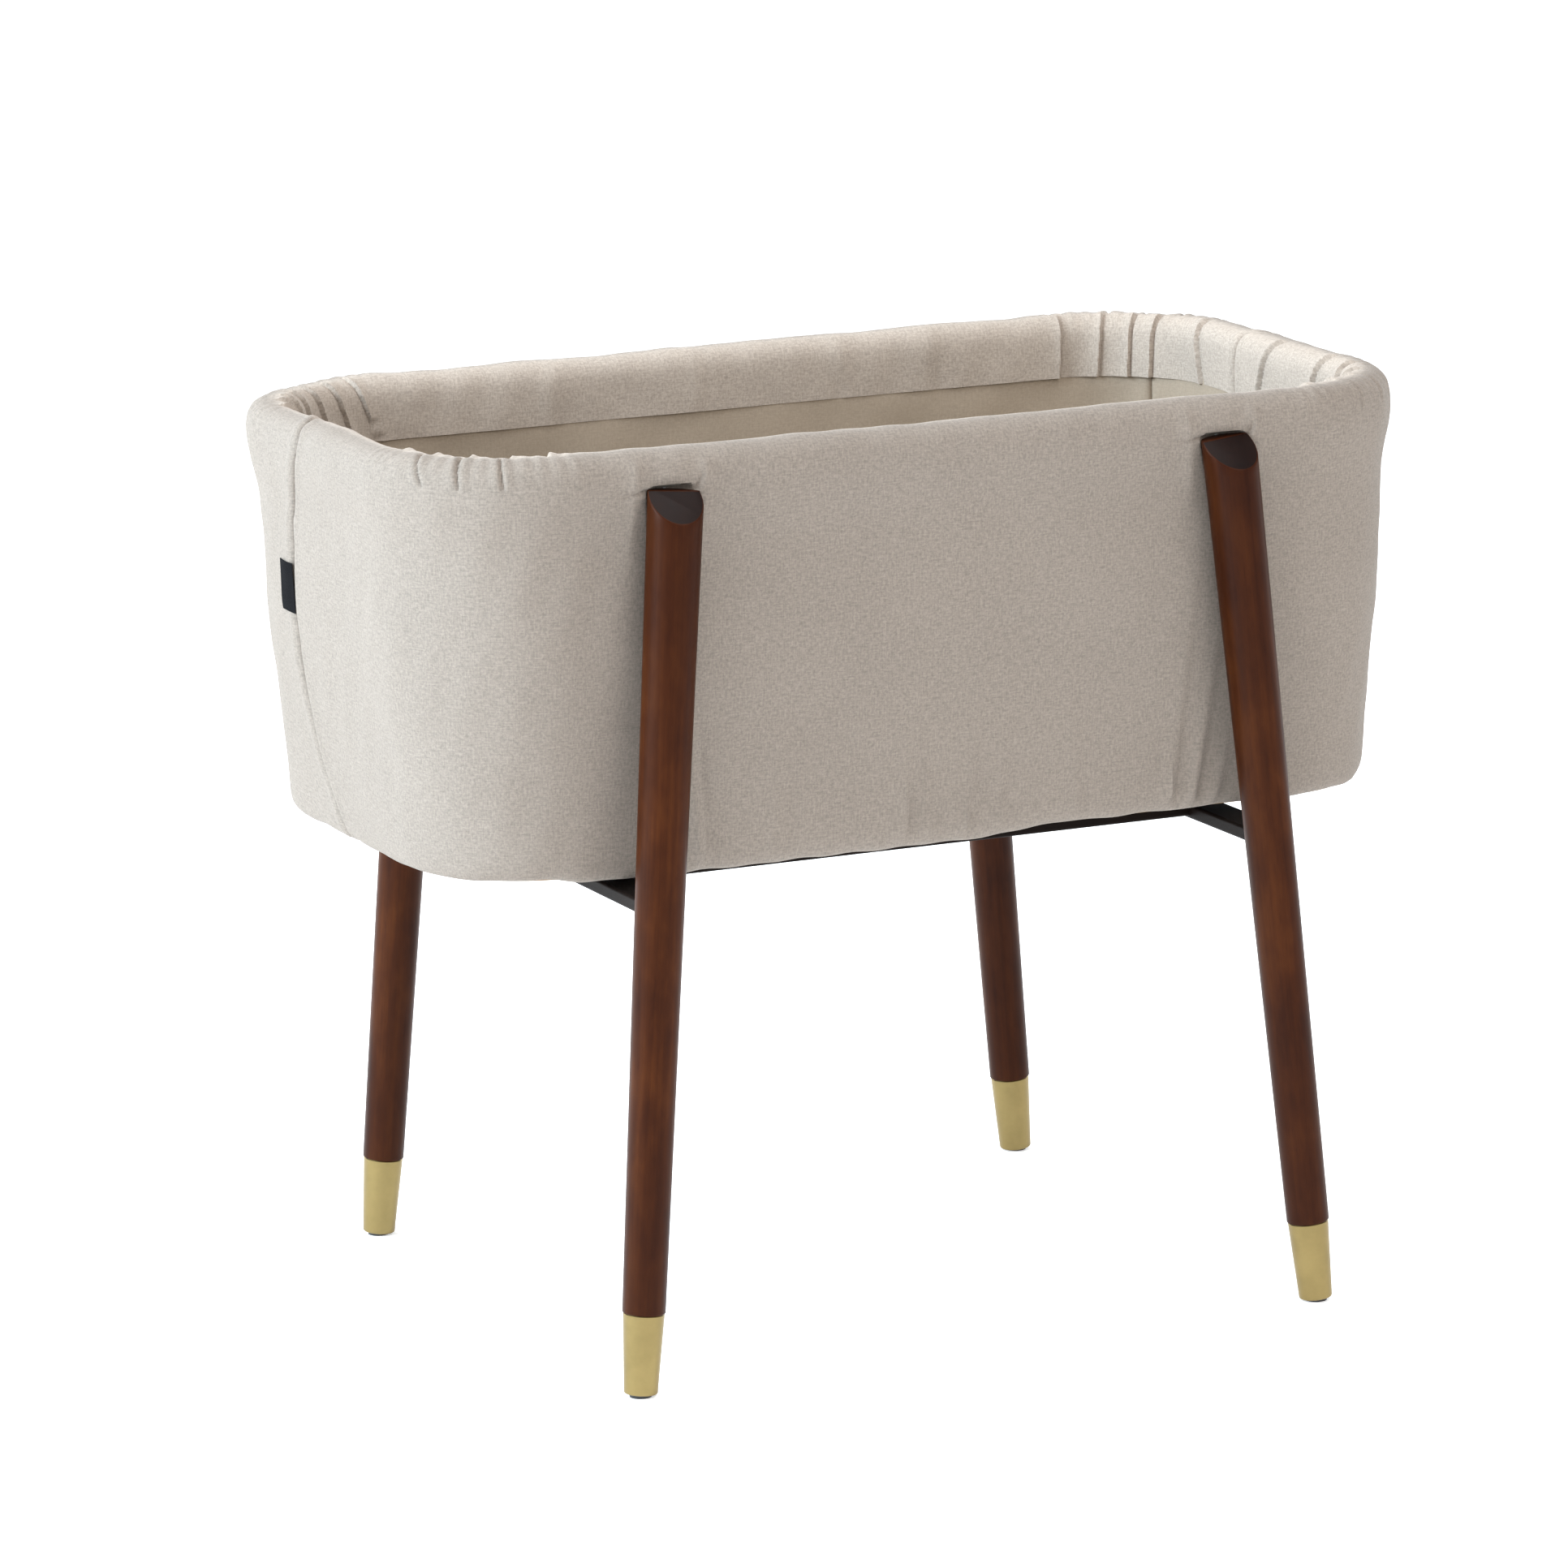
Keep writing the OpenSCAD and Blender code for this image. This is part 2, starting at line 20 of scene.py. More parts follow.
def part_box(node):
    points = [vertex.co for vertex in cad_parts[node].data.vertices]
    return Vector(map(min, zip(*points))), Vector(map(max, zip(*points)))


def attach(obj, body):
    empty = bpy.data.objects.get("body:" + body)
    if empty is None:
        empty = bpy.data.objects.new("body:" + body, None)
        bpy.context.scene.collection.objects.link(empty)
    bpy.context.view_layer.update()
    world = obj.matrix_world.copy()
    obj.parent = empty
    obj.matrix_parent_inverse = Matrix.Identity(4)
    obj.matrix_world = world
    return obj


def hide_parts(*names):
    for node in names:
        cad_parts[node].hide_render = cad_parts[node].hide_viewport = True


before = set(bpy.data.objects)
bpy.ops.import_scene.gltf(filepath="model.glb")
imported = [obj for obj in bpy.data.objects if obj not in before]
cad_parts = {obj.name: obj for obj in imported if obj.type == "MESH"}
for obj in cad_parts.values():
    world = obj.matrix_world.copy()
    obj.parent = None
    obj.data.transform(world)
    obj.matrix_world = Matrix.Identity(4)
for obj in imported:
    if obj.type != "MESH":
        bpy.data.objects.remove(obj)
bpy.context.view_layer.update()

LOG = logging.getLogger("bassinet")
BODY = "bassinet"
MATTRESS_BODY = "mattress"
Array = np.ndarray
Colour = tuple[float, float, float]
TINY = 1e-12  # keeps a division from dividing by zero
FAR = 10.0  # metres, past every piece
FLAT = 0.999  # how closely a face's normal has to follow a direction to lie square to it


class Side(IntEnum):
    """Which end of the basket along X."""

    LEFT = -1
    RIGHT = 1


class End(IntEnum):
    """Front or rear along Y."""

    FRONT = -1
    REAR = 1


# ---------------------------------------------------------------------- shader tools


class Sock:
    """A socket or a number in a material, with operators that add Math nodes."""

    def __init__(self, shader: "Shader", value: Any) -> None:
        """Wraps an output socket.

        Args:
            shader: The material that the socket is in.
            value: The socket, or a plain number.
        """
        self.shader = shader
        self.value = value

    def _maths(self, operation: str, first: Any, second: Any = None) -> "Sock":
        """Adds one Math node.

        Args:
            operation: The node's operation.
            first: Its first input.
            second: Its second input, if it has one.

        Returns:
            The node's output.
        """
        inputs = {0: first} if second is None else {0: first, 1: second}
        return self.shader.node("ShaderNodeMath", {"operation": operation}, inputs)

    def __add__(self, other: Any) -> "Sock":
        """Returns self + other."""
        return self._maths("ADD", self, other)

    __radd__ = __add__

    def __mul__(self, other: Any) -> "Sock":
        """Returns self * other."""
        return self._maths("MULTIPLY", self, other)

    __rmul__ = __mul__

    def __sub__(self, other: Any) -> "Sock":
        """Returns self - other."""
        return self._maths("SUBTRACT", self, other)

    def __rsub__(self, other: Any) -> "Sock":
        """Returns other - self."""
        return self._maths("SUBTRACT", other, self)

    def __pow__(self, other: Any) -> "Sock":
        """Returns self raised to other."""
        return self._maths("POWER", self, other)

    def sine(self) -> "Sock":
        """Returns the sine of self."""
        return self._maths("SINE", self)

    def size(self) -> "Sock":
        """Returns the absolute value of self."""
        return self._maths("ABSOLUTE", self)

    def between(self, low: float, high: float) -> "Sock":
        """Returns self mapped so that low gives 0 and high gives 1, clamped."""
        settings = {"clamp": True}
        inputs = {"Value": self, "From Min": low, "From Max": high}
        return self.shader.node("ShaderNodeMapRange", settings, inputs)


class Shader:
    """One material's node tree, from coordinates to the surface."""

    def __init__(self, name: str) -> None:
        """Starts an empty material.

        Args:
            name: The material's name.
        """
        self.material = bpy.data.materials.new(name)
        self.material.use_nodes = True
        self.tree = self.material.node_tree
        self.tree.nodes.clear()

    def node(self, kind: str, settings: dict[str, Any], inputs: dict[Any, Any], output: Any = 0) -> Sock:
        """Adds a node.

        Args:
            kind: The node's type.
            settings: Its properties, or a ramp's stops under "stops".
            inputs: Socket name or index to a value or a Sock.
            output: Which output to return.

        Returns:
            The chosen output.
        """
        made = self.tree.nodes.new(kind)
        for key, value in settings.items():
            if key == "stops":
                self._set_stops(made.color_ramp, value)
            else:
                setattr(made, key, value)
        for key, value in inputs.items():
            self.link(made.inputs[key], value)
        return Sock(self, made if output is None else made.outputs[output])

    def link(self, socket: Any, value: Any) -> None:
        """Sets a socket from a Sock, a colour or a number."""
        if isinstance(value, Sock):
            self.tree.links.new(value.value, socket)
        elif isinstance(value, tuple) and len(value) == 3 and socket.type == "RGBA":
            socket.default_value = (*value, 1.0)
        else:
            socket.default_value = value

    @staticmethod
    def _set_stops(ramp: Any, stops: Sequence[tuple[float, Colour]]) -> None:
        """Fills a colour ramp with (place, colour) stops."""
        while len(ramp.elements) > len(stops):
            ramp.elements.remove(ramp.elements[-1])
        while len(ramp.elements) < len(stops):
            ramp.elements.new(1.0)
        for element, (place, colour) in zip(ramp.elements, stops):
            element.position = place
            element.color = (*colour, 1.0)

    def attribute(self, name: str) -> Sock:
        """Returns a mesh attribute as a vector."""
        return self.node("ShaderNodeAttribute", {"attribute_name": name}, {}, "Vector")

    def place(self) -> Sock:
        """Returns the point's place in the object, in metres."""
        return self.node("ShaderNodeTexCoord", {}, {}, "Object")

    def scaled(self, vector: Sock, scale: Colour) -> Sock:
        """Returns a vector multiplied by a scale along each axis."""
        return self.node("ShaderNodeVectorMath", {"operation": "MULTIPLY"}, {0: vector, 1: scale})

    def axes(self, vector: Sock) -> tuple[Sock, Sock, Sock]:
        """Returns a vector's three numbers."""
        split = self.node("ShaderNodeSeparateXYZ", {}, {"Vector": vector})
        outputs = split.value.node.outputs
        return Sock(self, outputs[0]), Sock(self, outputs[1]), Sock(self, outputs[2])

    def noise(self, vector: Sock, scale: float, detail: float = 3.0, roughness: float = 0.5) -> Sock:
        """Returns noise from 0 to 1 at a number of features per unit of the vector."""
        inputs = {"Vector": vector, "Scale": scale, "Detail": detail, "Roughness": roughness}
        return self.node("ShaderNodeTexNoise", {}, inputs)

    def ramp(self, value: Sock, stops: Sequence[tuple[float, Colour]]) -> Sock:
        """Returns a colour from a ramp's stops."""
        return self.node("ShaderNodeValToRGB", {"stops": stops}, {"Fac": value})

    def mix(self, factor: Any, first: Any, second: Any, blend: str = "MIX") -> Sock:
        """Returns two colours mixed by a factor."""
        settings = {"data_type": "RGBA", "blend_type": blend}
        return self.node("ShaderNodeMix", settings, {0: factor, 6: first, 7: second}, 2)

    def bump(self, height: Sock, distance: float) -> Sock:
        """Returns a normal tilted by a height times a distance in metres."""
        return self.node("ShaderNodeBump", {}, {"Height": height, "Distance": distance, "Strength": 1.0})

    def surface(self, inputs: dict[str, Any]) -> bpy.types.Material:
        """Ends the tree in one Principled shader.

        Args:
            inputs: Socket name to a value or a Sock.

        Returns:
            The finished material.
        """
        return self.end(self.node("ShaderNodeBsdfPrincipled", {}, inputs))

    def end(self, surface: Sock) -> bpy.types.Material:
        """Joins a surface to the output and returns the material."""
        self.node("ShaderNodeOutputMaterial", {}, {"Surface": surface}, None)
        return self.material


# ---------------------------------------------------------------------- finishes


def tinted(colour: Colour, factor: float) -> Colour:
    """Returns a colour made lighter or darker by a factor."""
    return tuple(min(1.0, channel * factor) for channel in colour)


@dataclass(frozen=True)
class WovenCloth:
    """Fine plain-weave cloth with slubs in its yarn.

    yarn is one thread's width in metres, slub is how uneven the threads' tone is, and inside is painted light:
    how much paler the colour is made inside the basket, standing in for light on its shaded inside. stretch is
    how long a slub is drawn along its thread.
    """

    name: str
    colour: Colour
    yarn: float = 0.0011
    slub: float = 0.10
    bump_depth: float = 0.00025
    sheen: float = 0.06
    gloss: float = 0.20
    inside: float = 1.0
    stretch: float = 0.12
    flecks: float = 420.0
    clouds: float = 14.0
    lighter: float = 1.22
    darker: float = 0.78

    def build(self) -> bpy.types.Material:
        """Returns the material.

        The mesh holds metres along and up the cloth, and 1 where it lies inside the basket and takes the
        painted inside light, in its "cloth" attribute.
        """
        shader = Shader(self.name)
        cloth = shader.attribute("cloth")
        fine, drawn = 1 / self.yarn, self.stretch / self.yarn
        warp = shader.noise(shader.scaled(cloth, (fine, drawn, 1.0)), 1.0, 2.0, 0.6)
        weft = shader.noise(shader.scaled(cloth, (drawn, fine, 1.0)), 1.0, 2.0, 0.6)
        along, up, _ = shader.axes(shader.scaled(cloth, (math.tau / self.yarn,) * 3))
        # within is 1 inside the basket, where the cloth's colour is painted paler.
        _, _, within = shader.axes(cloth)
        cross = along.sine() * up.sine()
        fleck = shader.noise(shader.scaled(cloth, (self.flecks, self.flecks, 1.0)), 1.0, 3.0, 0.75)
        cloud = shader.noise(shader.scaled(cloth, (self.clouds, self.clouds, 1.0)), 1.0, 2.0, 0.5)
        thread = warp * 0.5 + weft * 0.5
        uneven = 9.0 * self.slub
        tone = (thread - 0.5) * uneven + (fleck - 0.5) * uneven + (cloud - 0.5) * 0.20 + 0.5
        light = tinted(self.colour, self.lighter)
        dark = tinted(self.colour, self.darker)
        height = thread * 0.8 + fleck * 0.5 + cross * 0.16
        woven = shader.mix(tone.between(0.0, 1.0), dark, light)
        return shader.surface({
            # Painted light: inside the basket the colour is multiplied by inside, making the shaded inside
            # paler.
            "Base Color": shader.mix(within, woven, shader.mix(1.0, woven, (self.inside,) * 3, "MULTIPLY")),
            "Roughness": fleck * 0.12 + 0.80,
            "Normal": shader.bump(height, self.bump_depth),
            "Sheen Weight": self.sheen,
            "Sheen Roughness": 0.45,
            "Specular IOR Level": self.gloss,
        })


@dataclass(frozen=True)
class StainedWood:
    """Turned hardwood with a dark red-brown stain under satin lacquer."""

    name: str = "stained_wood"
    dark: Colour = (0.018, 0.0034, 0.0009)
    middle: Colour = (0.043, 0.0103, 0.0021)
    light: Colour = (0.077, 0.0212, 0.0042)

    def build(self) -> bpy.types.Material:
        """Returns the material; the mesh holds metres across and along the leg in its "grain" attribute."""
        shader = Shader(self.name)
        grain = shader.attribute("grain")
        warp = shader.noise(shader.scaled(grain, (30.0, 30.0, 4.0)), 1.0, 2.0)
        bent = shader.node("ShaderNodeVectorMath", {"operation": "ADD"},
                           {0: shader.scaled(grain, (150.0, 150.0, 5.0)), 1: warp})
        streak = shader.noise(bent, 1.0, 5.0, 0.62)
        pore = shader.noise(shader.scaled(grain, (1500.0, 1500.0, 45.0)), 1.0, 2.0, 0.7)
        cloud = shader.noise(shader.scaled(grain, (36.0, 36.0, 15.0)), 1.0, 3.0, 0.6)
        tone = streak * 0.42 + cloud * 0.58
        stain = shader.ramp(tone, [(0.28, self.dark), (0.50, self.middle), (0.72, self.light)])
        pores = pore.between(0.62, 0.75) * 0.45
        height = shader.axes(shader.place())[2]
        # The stain is mixed towards its dark tone below 0.26 m up the leg and above 0.48 m.
        ends = height.between(0.26, 0.06) * 0.40 + height.between(0.48, 0.64) * 0.42
        return shader.surface({
            "Base Color": shader.mix(pores, shader.mix(ends, stain, self.dark), self.dark),
            "Roughness": streak * 0.14 + 0.34,
            "Normal": shader.bump(streak * 0.5 + pore * 0.5, 0.00006),
            "Coat Weight": 0.03,
            "Coat Roughness": 0.25,
            "Specular IOR Level": 0.07,
        })


@dataclass(frozen=True)
class Metal:
    """Bare or coated metal with fine turning or rolling marks."""

    name: str
    colour: Colour
    roughness: float
    metallic: float = 1.0
    mark: Colour = (900.0, 900.0, 900.0)
    depth: float = 0.00002
    gloss: float = 0.5

    def build(self) -> bpy.types.Material:
        """Returns the material."""
        shader = Shader(self.name)
        place = shader.place()
        mark = shader.noise(shader.scaled(place, self.mark), 1.0, 2.0, 0.6)
        cloud = shader.noise(shader.scaled(place, (45.0, 45.0, 45.0)), 1.0, 3.0, 0.6)
        dull = tinted(self.colour, 0.86)
        return shader.surface({
            "Base Color": shader.mix(cloud.between(0.35, 0.7), dull, self.colour),
            "Metallic": self.metallic,
            "Roughness": mark * 0.10 + cloud * 0.08 + (self.roughness - 0.09),
            "Normal": shader.bump(mark, self.depth),
            "Specular IOR Level": self.gloss,
        })


@dataclass(frozen=True)
class Plywood:
    """Bare birch plywood: faint figure on the faces and ply lines at the edge."""

    name: str = "plywood"
    light: Colour = (0.42, 0.29, 0.17)
    dark: Colour = (0.27, 0.17, 0.09)
    ply: float = 0.0015

    def build(self) -> bpy.types.Material:
        """Returns the material."""
        shader = Shader(self.name)
        place = shader.place()
        figure = shader.noise(shader.scaled(place, (6.0, 110.0, 30.0)), 1.0, 5.0, 0.6)
        _, _, height = shader.axes(shader.scaled(place, (math.pi / self.ply,) * 3))
        normal = shader.node("ShaderNodeNewGeometry", {}, {}, "Normal")
        _, _, facing = shader.axes(normal)
        edge = 1.0 - facing.size().between(0.2, 0.8)
        lines = height.sine().size() ** 3.0 * edge
        wood = shader.mix(figure.between(0.35, 0.7), self.light, self.dark)
        return shader.surface({
            "Base Color": shader.mix(lines * 0.7, wood, self.dark),
            "Roughness": figure * 0.2 + 0.5,
            "Normal": shader.bump(figure, 0.0001),
        })


@dataclass(frozen=True)
class Grained:
    """Foam, nylon, felted cloth and other dull stuff with an even fine grain."""

    name: str
    colour: Colour
    roughness: float
    grain: float
    depth: float

    def build(self) -> bpy.types.Material:
        """Returns the material."""
        shader = Shader(self.name)
        place = shader.place()
        grain = shader.noise(place, self.grain, 3.0, 0.7)
        cloud = shader.noise(place, 20.0, 2.0)
        dark, light = tinted(self.colour, 0.8), tinted(self.colour, 1.12)
        return shader.surface({
            "Base Color": shader.mix((grain * 0.7 + cloud * 0.3).between(0.3, 0.7), dark, light),
            "Roughness": grain * 0.1 + (self.roughness - 0.05),
            "Normal": shader.bump(grain, self.depth),
        })


@dataclass(frozen=True)
class PaleFloor:
    """The studio's plain white floor, lit a little from within."""

    name: str = "studio_floor"
    colour: Colour = (0.90, 0.90, 0.90)
    glow: float = 0.47

    def build(self) -> bpy.types.Material:
        """Returns the material, which is clear when it is seen from below."""
        inputs = {"Base Color": self.colour, "Roughness": 0.9, "Specular IOR Level": 0.1,
                  "Emission Color": (1.0, 1.0, 1.0), "Emission Strength": self.glow}
        shader = Shader(self.name)
        under = shader.node("ShaderNodeNewGeometry", {}, {}, "Backfacing")
        top = shader.node("ShaderNodeBsdfPrincipled", {}, inputs)
        clear = shader.node("ShaderNodeBsdfTransparent", {}, {})
        return shader.end(shader.node("ShaderNodeMixShader", {}, {0: under, 1: top, 2: clear}))


class Finishes:
    """Every finish, built once and shared."""

    def __init__(self) -> None:
        """Builds the materials."""
        # Painted light: the cover's colour is made 1.6 times paler inside the basket, for its shaded inside.
        self.cover = WovenCloth("cover_cloth", (0.246, 0.211, 0.181), slub=0.26, inside=1.60).build()
        # Painted light: the lining, the cover's own cloth, is given a paler colour to stand in for light on
        # the basket's shaded inside.
        self.lining = WovenCloth("lining_cloth", (0.330, 0.270, 0.208), slub=0.12).build()
        self.mattress = WovenCloth("mattress_cloth", (0.38, 0.36, 0.33), yarn=0.0009, slub=0.07).build()
        self.label = WovenCloth("label_tape", (0.0045, 0.0045, 0.0055), yarn=0.0006, slub=0.2, sheen=0.0,
                                gloss=0.05).build()
        self.wood = StainedWood().build()
        self.end_grain = StainedWood("stained_end_grain", (0.0045, 0.0012, 0.0008), (0.0100, 0.0028, 0.0016),
                                     (0.0170, 0.0055, 0.0030)).build()
        self.brass = Metal("brass_satin", (0.284, 0.214, 0.090), 0.42, mark=(500.0, 500.0, 2600.0)).build()
        self.insert = Metal("brass_machined", (0.60, 0.46, 0.20), 0.35).build()
        self.zinc = Metal("zinc_steel", (0.46, 0.47, 0.48), 0.42).build()
        self.rail = Metal("dark_rail", (0.0095, 0.0060, 0.0048), 0.45, metallic=0.0, depth=0.00008,
                          gloss=0.04).build()
        self.plywood = Plywood().build()
        self.nylon = Grained("nylon", (0.03, 0.03, 0.032), 0.5, 900.0, 0.00003).build()
        self.foam = Grained("foam", (0.48, 0.46, 0.40), 0.95, 500.0, 0.0005).build()
        self.dust_cloth = Grained("dust_cloth", (0.028, 0.028, 0.030), 0.95, 1200.0, 0.0002).build()
        self.floor = PaleFloor().build()


# ---------------------------------------------------------------------- shape tools


def bell(distance: Array, width: float) -> Array:
    """Returns a smooth bump of height 1 and the given half width."""
    return np.exp(-((distance / width) ** 2))


def ease(value: Array, low: float, high: float) -> Array:
    """Returns 0 below low, 1 above high and a smooth rise between."""
    t = np.clip((value - low) / (high - low), 0.0, 1.0)
    return t * t * (3 - 2 * t)


def soft_min(first: Array, second: Array, blend: float) -> Array:
    """Returns the smaller of two values, rounded where they meet."""
    h = np.clip(0.5 + 0.5 * (second - first) / blend, 0.0, 1.0)
    return second * (1 - h) + first * h - blend * h * (1 - h)


def waves(along: Array, up: Array, length: float, seed: int) -> Array:
    """Returns slow uneven waves from about -1 to 1.

    Args:
        along: Metres along the cloth.
        up: Metres up the cloth.
        length: The typical wave length.
        seed: Picks the pattern.

    Returns:
        The height of the waves.
    """
    rng = np.random.default_rng(seed)
    total = np.zeros(np.broadcast(along, up).shape)
    for _ in range(7):
        turn = rng.uniform(-math.pi, math.pi)
        k = math.tau / (length * rng.uniform(0.6, 1.6))
        total = total + np.sin(k * (along * math.cos(turn) + up * math.sin(turn)) + rng.uniform(0, math.tau))
    return total / 3.2


def stepped(start: float, stop: float, spacing: Callable[[float], float]) -> Array:
    """Returns places from start to stop whose spacing varies from place to place."""
    places = [start]
    while places[-1] + spacing(places[-1]) < stop:
        places.append(places[-1] + spacing(places[-1]))
    return np.array([*places, stop])


def spread(*values: Any) -> Array:
    """Returns values joined into vectors along a new last axis, each widened to the shape of all."""
    return np.stack(np.broadcast_arrays(*values), axis=-1)


def quads(*corners: Array) -> Array:
    """Returns four-cornered faces, one a row, from the grids of their corners' numbers."""
    return np.stack(corners, axis=-1).reshape(-1, 4)


def run_length(path: Array) -> Array:
    """Returns the distance along a flat path to each of its points."""
    return np.concatenate([[0], np.cumsum(np.hypot(*np.diff(path, axis=0).T))])


def co_ordinates(piece: Any) -> Array:
    """Returns a piece's points, one a row."""
    return np.array([vertex.co for vertex in piece.data.vertices], float)


@contextmanager
def editing(piece: Any) -> Iterator[Any]:
    """Opens a piece's mesh for editing and puts the result back."""
    work = bmesh.new()
    work.from_mesh(piece.data)
    yield work
    work.to_mesh(piece.data)
    work.free()


def add_object(name: str, data: Any) -> Any:
    """Adds an object for a mesh, a light or a camera to the scene."""
    made = bpy.data.objects.new(name, data)
    bpy.context.scene.collection.objects.link(made)
    return made


def new_object(name: str, vertices: Array, faces: Sequence[Sequence[int]], material: Any) -> Any:
    """Makes a mesh object with smooth shading.

    Args:
        name: The piece's name.
        vertices: Points, one a row.
        faces: Corner numbers of each face.
        material: Its finish.

    Returns:
        The object.
    """
    mesh = bpy.data.meshes.new(name)
    mesh.from_pydata([tuple(v) for v in np.asarray(vertices, float)], [], [tuple(f) for f in faces])
    mesh.materials.append(material)
    made = add_object(name, mesh)
    smooth(made)
    return made


def smooth(piece: Any, sharp_degrees: float = 40.0) -> None:
    """Shades a mesh smooth, apart from edges sharper than an angle."""
    polygons = piece.data.polygons
    polygons.foreach_set("use_smooth", [True] * len(polygons))
    with editing(piece) as work:
        for edge in work.edges:
            sharp = len(edge.link_faces) == 2 and edge.calc_face_angle() > math.radians(sharp_degrees)
            edge.smooth = not sharp


def add_vectors(piece: Any, name: str, values: Array) -> None:
    """Stores one vector a point on a mesh."""
    attribute = piece.data.attributes.new(name, "FLOAT_VECTOR", "POINT")
    attribute.data.foreach_set("vector", np.asarray(values, np.float32).ravel())


def sheet_grid(name: str, points: Array, cloth: Array, thickness: float, material: Any) -> Any:
    """Makes a closed thin shell from a grid of points on its outer face.

    Args:
        name: The piece's name.
        points: Rows by columns by 3.
        cloth: Rows by columns by 3, metres along and up the cloth, and 1 inside the basket, where the cover is
            painted paler.
        thickness: How far the back lies behind the face.
        material: Its finish.

    Returns:
        The object.
    """
    rows, columns = points.shape[:2]
    count = rows * columns
    normal = np.cross(np.gradient(points, axis=1), np.gradient(points, axis=0))
    normal /= np.maximum(np.linalg.norm(normal, axis=2, keepdims=True), TINY)
    back = points - normal * thickness
    index = np.arange(count).reshape(rows, columns)
    face = quads(index[:-1, :-1], index[:-1, 1:], index[1:, 1:], index[1:, :-1])
    ring = np.concatenate([index[0, :], index[1:, -1], index[-1, -2::-1], index[-2:0:-1, 0]])
    following = np.roll(ring, -1)
    rim = quads(following, ring, ring + count, following + count)
    faces = np.concatenate([face, face[:, ::-1] + count, rim])
    both = np.concatenate([points.reshape(-1, 3), back.reshape(-1, 3)])
    made = new_object(name, both, faces.tolist(), material)
    add_vectors(made, "cloth", np.concatenate([cloth.reshape(-1, 3)] * 2))
    return made


def bead(name: str, path: Array, radius: float, material: Any, sides: int = 10) -> Any:
    """Makes a round bead along a level path that meets itself.

    Args:
        name: The piece's name.
        path: Points, one a row.
        radius: The bead's radius.
        material: Its finish.
        sides: Sides of its section.

    Returns:
        The object.
    """
    ahead = np.roll(path, -1, axis=0) - np.roll(path, 1, axis=0)
    ahead /= np.linalg.norm(ahead, axis=1, keepdims=True)
    across = np.cross(ahead, (0.0, 0.0, 1.0))
    lift = np.cross(across, ahead)
    turn = np.linspace(0, math.tau, sides, endpoint=False)
    ring = across[:, None] * np.cos(turn)[None, :, None] + lift[:, None] * np.sin(turn)[None, :, None]
    points = path[:, None] + ring * radius
    index = np.arange(len(path) * sides).reshape(-1, sides)
    after = np.roll(index, -1, axis=0)
    faces = quads(index, after, np.roll(after, -1, axis=1), np.roll(index, -1, axis=1))
    made = new_object(name, points.reshape(-1, 3), faces.tolist(), material)
    cloth = spread(run_length(path[:, :2])[:, None], (turn * radius)[None, :], 0.0)
    add_vectors(made, "cloth", cloth.reshape(-1, 3))
    return made


def outward(piece: Any) -> None:
    """Turns every face of a closed mesh to face out."""
    with editing(piece) as work:
        bmesh.ops.recalc_face_normals(work, faces=work.faces)


def cross_section(node: str, height: float) -> tuple[Vector, float]:
    """Measures a round CAD node where a level plane cuts it.

    Args:
        node: The node's name.
        height: The plane's height.

    Returns:
        The centre of the cut and its radius.
    """
    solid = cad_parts[node]
    points = co_ordinates(solid)
    pairs = np.array([edge.vertices[:] for edge in solid.data.edges])
    first, second = points[pairs[:, 0]], points[pairs[:, 1]]
    crossing = (first[:, 2] - height) * (second[:, 2] - height) < 0
    first, second = first[crossing], second[crossing]
    share = ((height - first[:, 2]) / (second[:, 2] - first[:, 2]))[:, None]
    cut = first + (second - first) * share
    low, high = cut.min(0), cut.max(0)
    return Vector((low + high) / 2), float(high[1] - low[1]) / 2


# ---------------------------------------------------------------------- the basket's shape


@dataclass(frozen=True)
class LegLine:
    """A leg's axis and taper, measured from its CAD node."""

    side: Side
    end: End
    foot: Vector
    slope: Vector
    foot_radius: float
    growth: float
    top: float

    @classmethod
    def measured(cls, side: Side, end: End) -> "LegLine":
        """Measures one leg.

        Args:
            side: Which end of the basket.
            end: Front or rear.

        Returns:
            The leg's axis at the floor, its lean per metre of height, and its taper.
        """
        node = leg_name("leg", side, end)
        low, high = 0.15, 0.65
        at_low, thin = cross_section(node, low)
        at_high, thick = cross_section(node, high)
        slope = (at_high - at_low) / (high - low)
        growth = (thick - thin) / (high - low)
        return cls(side, end, at_low - slope * low, slope, thin - growth * low, growth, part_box(node)[1].z)

    def at(self, height: float | Array) -> tuple[Any, Any, Any]:
        """Returns the axis's x and y and the leg's radius at a height."""
        return (self.foot.x + self.slope.x * height, self.foot.y + self.slope.y * height,
                self.foot_radius + self.growth * height)

    @property
    def axis(self) -> Vector:
        """The direction up the leg."""
        return self.slope.normalized()


def leg_name(kind: str, side: Side, end: End) -> str:
    """Returns a node's name, such as leg_front_left."""
    return f"{kind}_{end.name.lower()}_{side.name.lower()}"


